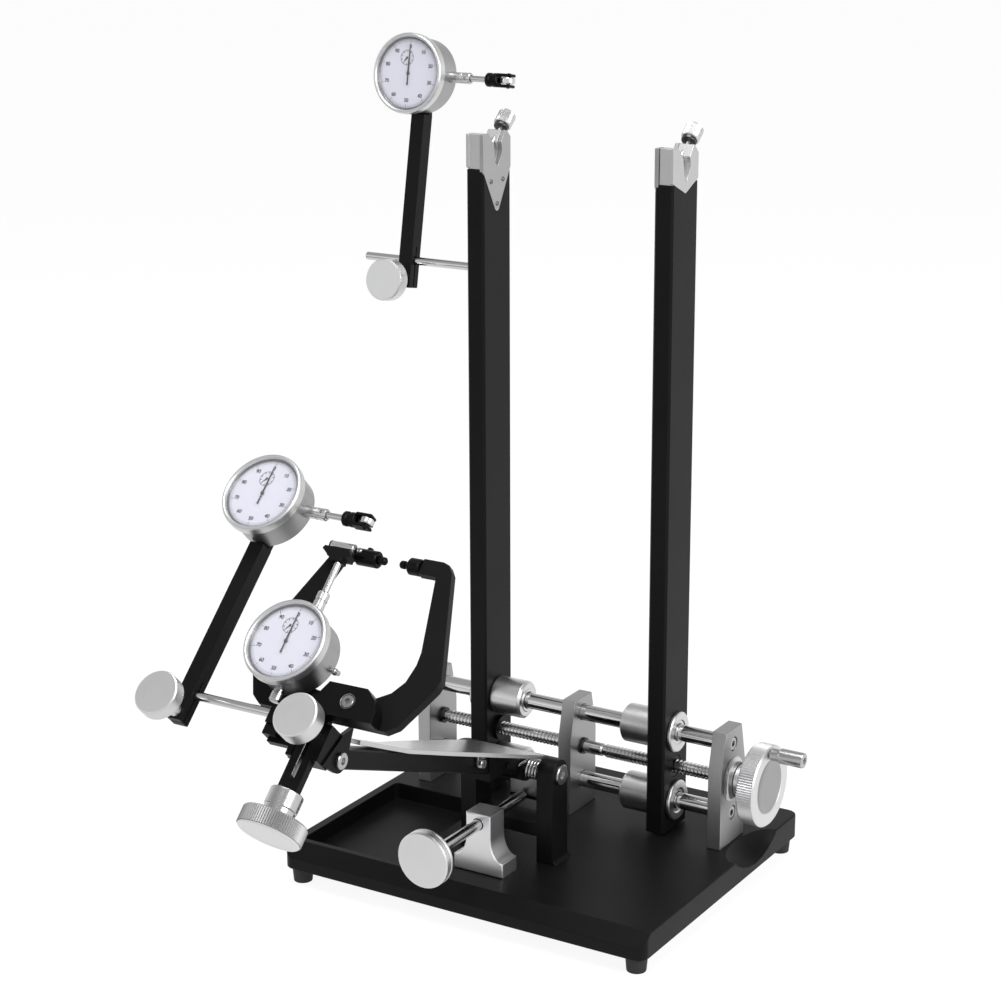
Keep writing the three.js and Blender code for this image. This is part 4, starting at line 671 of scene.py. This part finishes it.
# Clamp knobs. Smooth aluminium discs with rounded rims, on short bosses. One clamps the
# slide in the head, and one clamps each dial arm on its rod.
def disc_knob(name, node, body, place, level, face, thick, boss, boss_end, shank, shank_end):
    metal = lathe_marks(f"{name}_metal", "y", (0, level), 0.74, 0.86, 0.4, place, 1500.0)
    back = face + thick
    disc = spun([(0, face), (14.2, face), (14.9, face + 0.35), (15.2, face + 1), (15.2, back - 1),
                 (14.9, back - 0.35), (14.2, back), (boss, back), (boss, boss_end), (shank, boss_end),
                 (shank, shank_end), (0, shank_end)], "y", (0, level), 96)
    make(name, disc, body, metal, [node], place, 24)


disc_knob("head_clamp_knob_disc", "head_clamp_knob", "head_knob", head_place, -14.4, -31.5, 12, 5.4, -6.7,
          1.7, -13.1)


# Slide. A black steel bar with a long slot runs in the head and carries the caliper.
# A turned aluminium knob with a knurled rim hangs at its foot on a bright hub.
slide_coat = black_coat("slide_coat", rough=0.36)
make("slide_bar_body", soften(copy_of("slide_bar"), 0.4), "slide", slide_coat, ["slide_bar"])
# A thin bright steel sheet on one wall of the slot is painted light: it stands in for the light seen through
# the slot.
slot_painted_light = bright("slot_painted_light", 0.4, 0.4)
light_sheet = slab((0.24, 4.6, 32), (-1.46, -3.65, -28))
make("slide_slot_light_sheet", soften(light_sheet, 0.08, 40, 1), "slide", slot_painted_light, place=head_place)
slide_line = (0, -3.65)
hub_metal = lathe_marks("hub_metal", "z", slide_line, 0.5, 0.62, 0.24, head_place)
hub = spun([(0, -49.3), (1.7, -49.3), (1.7, -54.6), (10.2, -54.6), (11, -55.4), (11, -66), (10.4, -66.6),
            (10.4, -72.2), (0, -72.2)], "z", slide_line, 72, 0.25)
make("pull_knob_hub", hub, "slide", hub_metal, place=head_place)
pull_metal = lathe_marks("pull_metal", "z", slide_line, 0.3, 0.42, 0.5, head_place)
pull_radius = 21.5
pull = knurled([(0, -72), (19.8, -72), (20.6, -72.3), (pull_radius, -73.2), (pull_radius, -83.6), (20.9, -84),
                (0, -84)], pull_radius, -83.6, -73.2, 84, 0.7, "z", slide_line)
make("pull_knob_disc", pull, "slide", pull_metal, ["pull_knob"], head_place, 28)
face_metal = lathe_marks("pull_face_metal", "z", slide_line, 0.84, 0.95, 0.42, head_place)
plate = spun([(0, -83.6), (20.8, -83.6), (20.6, -84.4), (20, -85), (17.6, -85), (17, -84.6), (0, -84.6)], "z",
             slide_line, 96)
make("pull_knob_face", plate, "slide", face_metal, place=head_place)


# Caliper. A black bow that reaches round the rim, cut from plate, with a bright barrel
# on its left tip. A black carrier block with a big socket screw joins it to the slide.
bow_coat = black_coat("bow_coat", (0.0038, 0.0038, 0.004), (0.0065, 0.0065, 0.0068), 0.44)
make("caliper_bow", soften(copy_of("caliper"), 0.25, 60), "slide", bow_coat, ["caliper"])
barrel_line = (-8.5, 112.3)
barrel_metal = lathe_marks("barrel_metal", "x", barrel_line, 0.6, 0.74, 0.26, head_place)
barrel = spun([(0, -44.6), (3.2, -44.6), (3.26, -44.4), (3.3, -27.6), (2.9, -27.2), (0, -27.2)], "x",
              barrel_line, 56)
make("caliper_barrel", barrel, "slide", barrel_metal, place=head_place)
cap = round_bar("x", 3.3, -45.9, -44.6, barrel_line, 0.4, 56)
make("caliper_barrel_cap", cap, "slide", bow_coat, place=head_place)
carrier_coat = black_coat("carrier_coat", (0.0025, 0.0025, 0.0027), (0.0045, 0.0045, 0.0048), 0.34)
make("carrier_block_body", soften(copy_of("carrier_block"), 0.35, 45), "slide", carrier_coat,
     ["carrier_block"])
carrier_line = (21.4, 6.9)
washer_metal = lathe_marks("washer_metal", "y", carrier_line, 0.3, 0.42, 0.34, head_place)
washer = spun([(4.9, -16.6), (5.1, -16.6), (5.1, -15.6), (0, -15.6), (0, -16.1), (4.4, -16.1)], "y",
              carrier_line, 64)
socket_cap = socket_head(4.3, -16.0, -16.9, 2.0, 0.8, "y", carrier_line)
make("carrier_screw", joined(washer, socket_cap), "slide", washer_metal, place=head_place)


# Feelers. Black turned bushes with small round-nosed pins face each other across the rim.
# The right one is fixed in the bow, and the left pin slides and works the rocker.
feeler_line = (-1.75, 111)
feeler_black = black_coat("feeler_black", (0.0022, 0.0022, 0.0024), (0.004, 0.004, 0.0042), 0.32)
fixed = spun([(0, 5), (1.5, 5.3), (2.5, 6.2), (2.7, 7), (2.7, 9.2), (1.9, 9.6), (1.9, 12.4), (4.6, 12.6),
              (5.6, 13.6), (5.6, 20.8), (5.2, 21.2), (5.2, 22.0), (0, 22.0)], "x", feeler_line, 56)
make("fixed_feeler_pin", fixed, "slide", feeler_black, ["fixed_feeler"], head_place)
bush = spun([(3.1, -11.2), (4.8, -11.2), (5.6, -12), (5.6, -26.4), (5.1, -27), (3.1, -27)], "x",
            feeler_line, 56)
top_stud = spun([(0, 115.6), (2.2, 115.6), (2.2, 117.4), (1.7, 118), (0, 118)], "z", (-20.6, -1.75), 36)
make("feeler_bush_body", joined(bush, top_stud), "slide", feeler_black, ["feeler_bush"], head_place)
stud = socket_head(1.9, -6.6, -8.6, 0.9, 0.7, "y", (-24.4, 112.6), 36)
make("feeler_bush_screw", stud, "slide", screw_steel, place=head_place)
pin = spun([(0, -5), (1.5, -5.3), (2.5, -6.2), (2.7, -7), (2.7, -10.8), (2.2, -11), (2.2, -38),
            (3.2, -38.2), (3.2, -50.4), (2.6, -51), (0, -51)], "x", feeler_line, 48)
make("feeler_pin_body", pin, "pin", feeler_black, ["feeler_pin"], head_place)
rocker_coat = black_coat("rocker_coat", rough=0.4)
make("feeler_rocker_body", soften(copy_of("feeler_rocker"), 0.3, 45), "rocker", rocker_coat,
     ["feeler_rocker"])


# Dial gauges. A brushed steel case with a turned bezel, a white printed face under a
# clear lens, a long needle, and a small counter with its own needle above the centre.
print_level = -23.42
counter_x, counter_z = -2.2, 11.2


def tick_ring(size, reach, count):
    """Printed ticks all round a centre, each at its reach from it"""
    ticks = slab(size, (0, print_level, reach))
    bmesh.ops.spin(ticks, geom=[*ticks.verts, *ticks.edges, *ticks.faces], cent=(0, 0, 0), axis=(0, 1, 0),
                   dvec=(0, 0, 0), angle=ALL_ROUND * (count - 1) / count, space=Matrix.Identity(4),
                   steps=count - 1, use_merge=False, use_normal_flip=False, use_duplicate=True)
    return ticks


def line_ring(inner, outer, steps):
    low, high = print_level - 0.03, print_level + 0.04
    return spun([(inner, low), (outer, low), (outer, high), (inner, high)], "y", (0, 0), steps)


def printed_face():
    """Ticks and plain numbers round the face, and the small counter's ring"""
    short_ticks = tick_ring((0.24, 0.04, 1.7), 23.4, 100)
    long_ticks = tick_ring((0.42, 0.05, 2.3), 23.1, 10)
    counter = joined(tick_ring((0.5, 0.05, 1.3), 4.5, 10), line_ring(5.15, 5.5, 48))
    bmesh.ops.translate(counter, vec=(counter_x, 0, counter_z), verts=counter.verts)
    marks = joined(short_ticks, long_ticks, counter, line_ring(24.3, 24.5, 96))
    number_reach = 19.2
    for count in range(10):
        letters = bpy.data.curves.new("number", "FONT")
        letters.body = str(count * 10)
        letters.size = 3.7
        letters.offset = 0.14
        letters.align_x = "CENTER"
        letters.align_y = "CENTER"
        letters.extrude = 0.03
        carrier = bpy.data.objects.new("number", letters)
        shape = bpy.data.meshes.new_from_object(carrier)
        number = bmesh.new()
        number.from_mesh(shape)
        angle = ALL_ROUND * count / 10
        spot = (number_reach * math.sin(angle), print_level, number_reach * math.cos(angle))
        bmesh.ops.transform(number, verts=number.verts, matrix=Matrix.Translation(spot) @ Matrix.Rotation(
            math.pi / 2, 4, "X"))
        marks = joined(marks, number)
        bpy.data.objects.remove(carrier)
        bpy.data.curves.remove(letters)
        bpy.data.meshes.remove(shape)
    return marks


dial_paper, paint, shader = new_finish("dial_paper")
fibres = speckle(paint, patterned(paint), 400.0)
feed(shader, "Base Color", between(paint, fibres, (0.64, 0.64, 0.74), (0.7, 0.7, 0.79)))
feed(shader, "Roughness", fibres * 0.1 + 0.5)
ink, paint, shader = new_finish("dial_ink")
fibres = speckle(paint, patterned(paint), 700.0)
feed(shader, "Base Color", between(paint, fibres, (0.012, 0.012, 0.02), (0.03, 0.03, 0.04)))
feed(shader, "Roughness", fibres * 0.2 + 0.5)
# A dark grey ring inside each bezel is painted shade, where the bezel shades the face's edge.
bezel_shade_grey = satin("bezel_shade_grey", (1, 1, 1), 0.1, 0.16, 0.4)
needle_black = black_coat("needle_black", (0.004, 0.004, 0.006), (0.009, 0.009, 0.012), 0.4)
lens, paint, shader = new_finish("dial_lens")
smears = speckle(paint, patterned(paint), 60.0)
feed(shader, "Base Color", between(paint, smears, (0.9, 0.92, 0.95), (0.97, 0.98, 1.0)))
feed(shader, "Roughness", smears * 0.05 + 0.03)
feed(shader, "Alpha", 0.06)
stem_metal = bright("stem_metal", 0.68, 0.26)
face_line = (0, 0)
stem_line = (-8, 0)


def gauge(label, body, needle_body, place, stem_place):
    """One dial on its carrier: place has the face to -Y and up along +Z, and stem_place the stem along +X"""
    case_metal = lathe_marks(f"{label}_case_metal", "y", face_line, 0.36, 0.48, 0.36, place, 1200.0)
    bezel_metal = lathe_marks(f"{label}_bezel_metal", "y", face_line, 0.66, 0.78, 0.34, place, 1200.0)
    case = spun([(0, 0), (25.8, 0), (27, -1.2), (27, -18.2), (27.4, -18.8), (26.6, -19.2), (26.6, -22.9),
                 (0, -22.9)], "y", face_line, 120)
    make(f"{label}_dial_body", case, body, case_metal, [f"{label}_dial_case"], place, 24)
    bezel = spun([(26.6, -19.3), (28.4, -19.3), (29, -19.9), (29, -24.9), (28.6, -25.9), (27.9, -26.5),
                  (27.3, -26.6), (26.7, -26.4), (26.2, -25.7), (25.8, -24.2), (25.7, -23.0), (26.6, -23.0)],
                 "y", face_line, 120)
    make(f"{label}_dial_bezel", bezel, body, bezel_metal, place=place, sharp=40)
    # The dark ring inside the bezel: painted shade at the face's edge.
    shade_ring = spun([(24.75, -23.4), (25.75, -23.4), (25.9, -24.6), (25.6, -24.6)], "y", face_line, 96)
    make(f"{label}_dial_shade_ring", shade_ring, body, bezel_shade_grey, place=place, sharp=60)
    disc = spun([(0, -23.38), (25.8, -23.38), (25.8, -22.95), (0, -22.95)], "y", face_line, 96)
    make(f"{label}_dial_face", disc, body, dial_paper, place=place)
    make(f"{label}_dial_print", printed_face(), body, ink, place=place)
    blade = bmesh.new()
    bmesh.ops.create_cone(blade, cap_ends=True, segments=4, radius1=0.6, radius2=0.3, depth=3.6,
                          matrix=Matrix.Translation((counter_x, -23.6, counter_z))
                          @ Matrix.Rotation(math.radians(218), 4, "Y") @ Matrix.Translation((0, 0, 1.8))
                          @ Matrix.Diagonal((1, 0.3, 1, 1)))
    boss = round_bar("y", 0.8, -23.9, -23.4, (counter_x, counter_z), 0.1, 24)
    make(f"{label}_dial_counter_needle", joined(blade, boss), body, needle_black, place=place)
    cover = spun([(0, -26.1), (8, -26.05), (16, -25.85), (22, -25.5), (26, -25.1), (26, -24.8), (0, -25.7)],
                 "y", face_line, 96)
    make(f"{label}_dial_lens", cover, body, lens, place=place, sharp=60)
    stem = spun([(2.6, 26), (4, 26), (4, 36.8), (3.7, 37.2), (3.7, 37.8), (4.1, 38.2), (4.1, 43.2), (3.5, 44),
                 (2.6, 44)], "x", stem_line, 56)
    make(f"{label}_dial_stem", stem, body, stem_metal, place=stem_place)
    needle = bmesh.new()
    bmesh.ops.create_cone(needle, cap_ends=True, segments=4, radius1=0.85, radius2=0.42, depth=21,
                          matrix=Matrix.Translation((0, -24.2, 10.5)) @ Matrix.Diagonal((1, 0.35, 1, 1)) @
                          Matrix.Rotation(math.pi / 4, 4, "Z"))
    tail = bmesh.new()
    bmesh.ops.create_cone(tail, cap_ends=True, segments=4, radius1=0.62, radius2=0.5, depth=8,
                          matrix=Matrix.Translation((0, -24.2, -4)) @ Matrix.Diagonal((1, 0.5, 1, 1)))
    weight = round_bar("y", 0.75, -24.4, -24.0, (0, -7.6), 0.1, 24)
    hub = round_bar("y", 1.2, -24.7, -23.5, face_line, 0.25, 32)
    make(f"{label}_needle_blade", joined(needle, tail, weight, hub), needle_body, needle_black,
         [f"{label}_dial_needle"], place)


front_place = head_place @ Matrix.Translation((-31.2, -5.3, 32.2))
front_stem = front_place @ Matrix.Rotation(-math.pi / 2, 4, "Y")
gauge("front", "slide", "front_needle", front_place, front_stem)
spindle_bright = bright("spindle_bright", 0.66, 0.18)
spindle = round_bar("x", 2.2, 24, 66.2, stem_line, 0.4, 40)
make("front_dial_spindle", spindle, "front_plunger", spindle_bright, ["front_dial_plunger"],
     front_stem)
foot_cap = spun([(0, -24.5), (3.4, -24.5), (3.4, -28), (2.9, -28.3), (2.9, -28.9), (4, -29.2), (4, -34.2),
                 (3.3, -35), (0, -35)], "x", stem_line, 48)
make("front_dial_foot_cap", foot_cap, "slide", stem_metal, place=front_stem)
tab_place = front_place @ Matrix.Rotation(math.radians(10), 4, "Y")
tab_screw = spun([(0, 26), (1.3, 26), (1.3, 28.8), (2.3, 29), (2.3, 30.6), (1.7, 31), (1.7, 33), (0, 33)],
                 "x", (-3, 0), 36, 0.15)
make("front_dial_lock_screw", tab_screw, "slide", screw_steel, place=tab_place)


# Dial arms. A square black bar, split at its foot, is clamped on a polished rod by a
# smooth knob. A tongue at its top carries the gauge, whose spindle ends in a roller fork.
fork_black = black_coat("fork_black", (0.0022, 0.0022, 0.0024), (0.0045, 0.0045, 0.0048), 0.32)
bar_coat = black_coat("bar_coat", (0.0035, 0.0035, 0.0038), (0.006, 0.006, 0.0063), 0.4)
roller_steel = bright("roller_steel", 0.74, 0.22)
upper_rod_line = (0, 418.9)
lower_rod_line = (head_place @ Vector((0, *cross_line)))[1:]
side_dials = (("upper", (-144, *upper_rod_line), 10.5, 133.7), ("lower", (-98, *lower_rod_line), 45.5, 138.5))
roller_line = (75, -8)
for label, rod_place, lean, reach in side_dials:
    arm = f"{label}_arm"
    place = Matrix.Translation(rod_place) @ Matrix.Rotation(math.radians(-lean), 4, "X")
    dial_place = place @ Matrix.Translation((0, 1, reach))
    make(f"{label}_arm_bar_body", soften(copy_of(f"{label}_arm_bar"), 0.35, 40), arm, bar_coat,
         [f"{label}_arm_bar"])
    disc_knob(f"{label}_arm_knob_disc", f"{label}_arm_knob", f"{label}_knob", place, -15, -32.5, 10, 4, -5.9,
              2.1, 3.9)
    gauge(label, arm, f"{label}_needle", dial_place, dial_place)
    set_screw = socket_head(1.2, -11.2, -12.3, 0.6, 0.5, "y", (40.6, 0), 24)
    make(f"{label}_stem_screw", set_screw, arm, clamp_metal_dark, place=dial_place)
    plunger = f"{label}_plunger"
    spindle = spun([(0, 24), (2.2, 24), (2.2, 58.5), (0, 58.5)], "x", stem_line, 40, 0.3)
    make(f"{label}_dial_spindle", spindle, plunger, spindle_bright, [f"{label}_dial_plunger"],
         dial_place)
    collar = spun([(2.3, 57.6), (4.4, 57.6), (5, 58.3), (5, 60.6), (4.2, 61.2), (4.2, 62.4), (5, 63.2),
                   (5, 66.6), (4.4, 67), (2.3, 67)], "x", stem_line, 40)
    prongs = [soften(slab((12.6, 7.6, 2.2), (72.5, stem_line[0], side * 3.8)), 0.9, 40, 3)
              for side in (-1, 1)]
    axle = round_bar("z", 1.2, -5.4, 5.4, roller_line, 0.3, 24)
    make(f"{label}_roller_fork", joined(collar, *prongs, axle), plunger, fork_black, place=dial_place)
    roller = spun([(1.6, -2.2), (4.2, -2.2), (4.8, -1.5), (4.8, 1.5), (4.2, 2.2), (1.6, 2.2)], "z",
                  roller_line, 48)
    make(f"{label}_roller_wheel", roller, f"{label}_roller", roller_steel, [f"{label}_dial_roller"],
         dial_place)


# Upper rod. A polished 6 mm rod fixed in the left upright carries the upper dial arm.
# Its free end has a small chamfer.
upper_bright = bright("upper_bright", 0.7, 0.12)
make("upper_rod_bar", round_bar("x", 3, -181, -76.7, upper_rod_line, 0.5, 48), "carriage_left", upper_bright,
     ["upper_rod"])
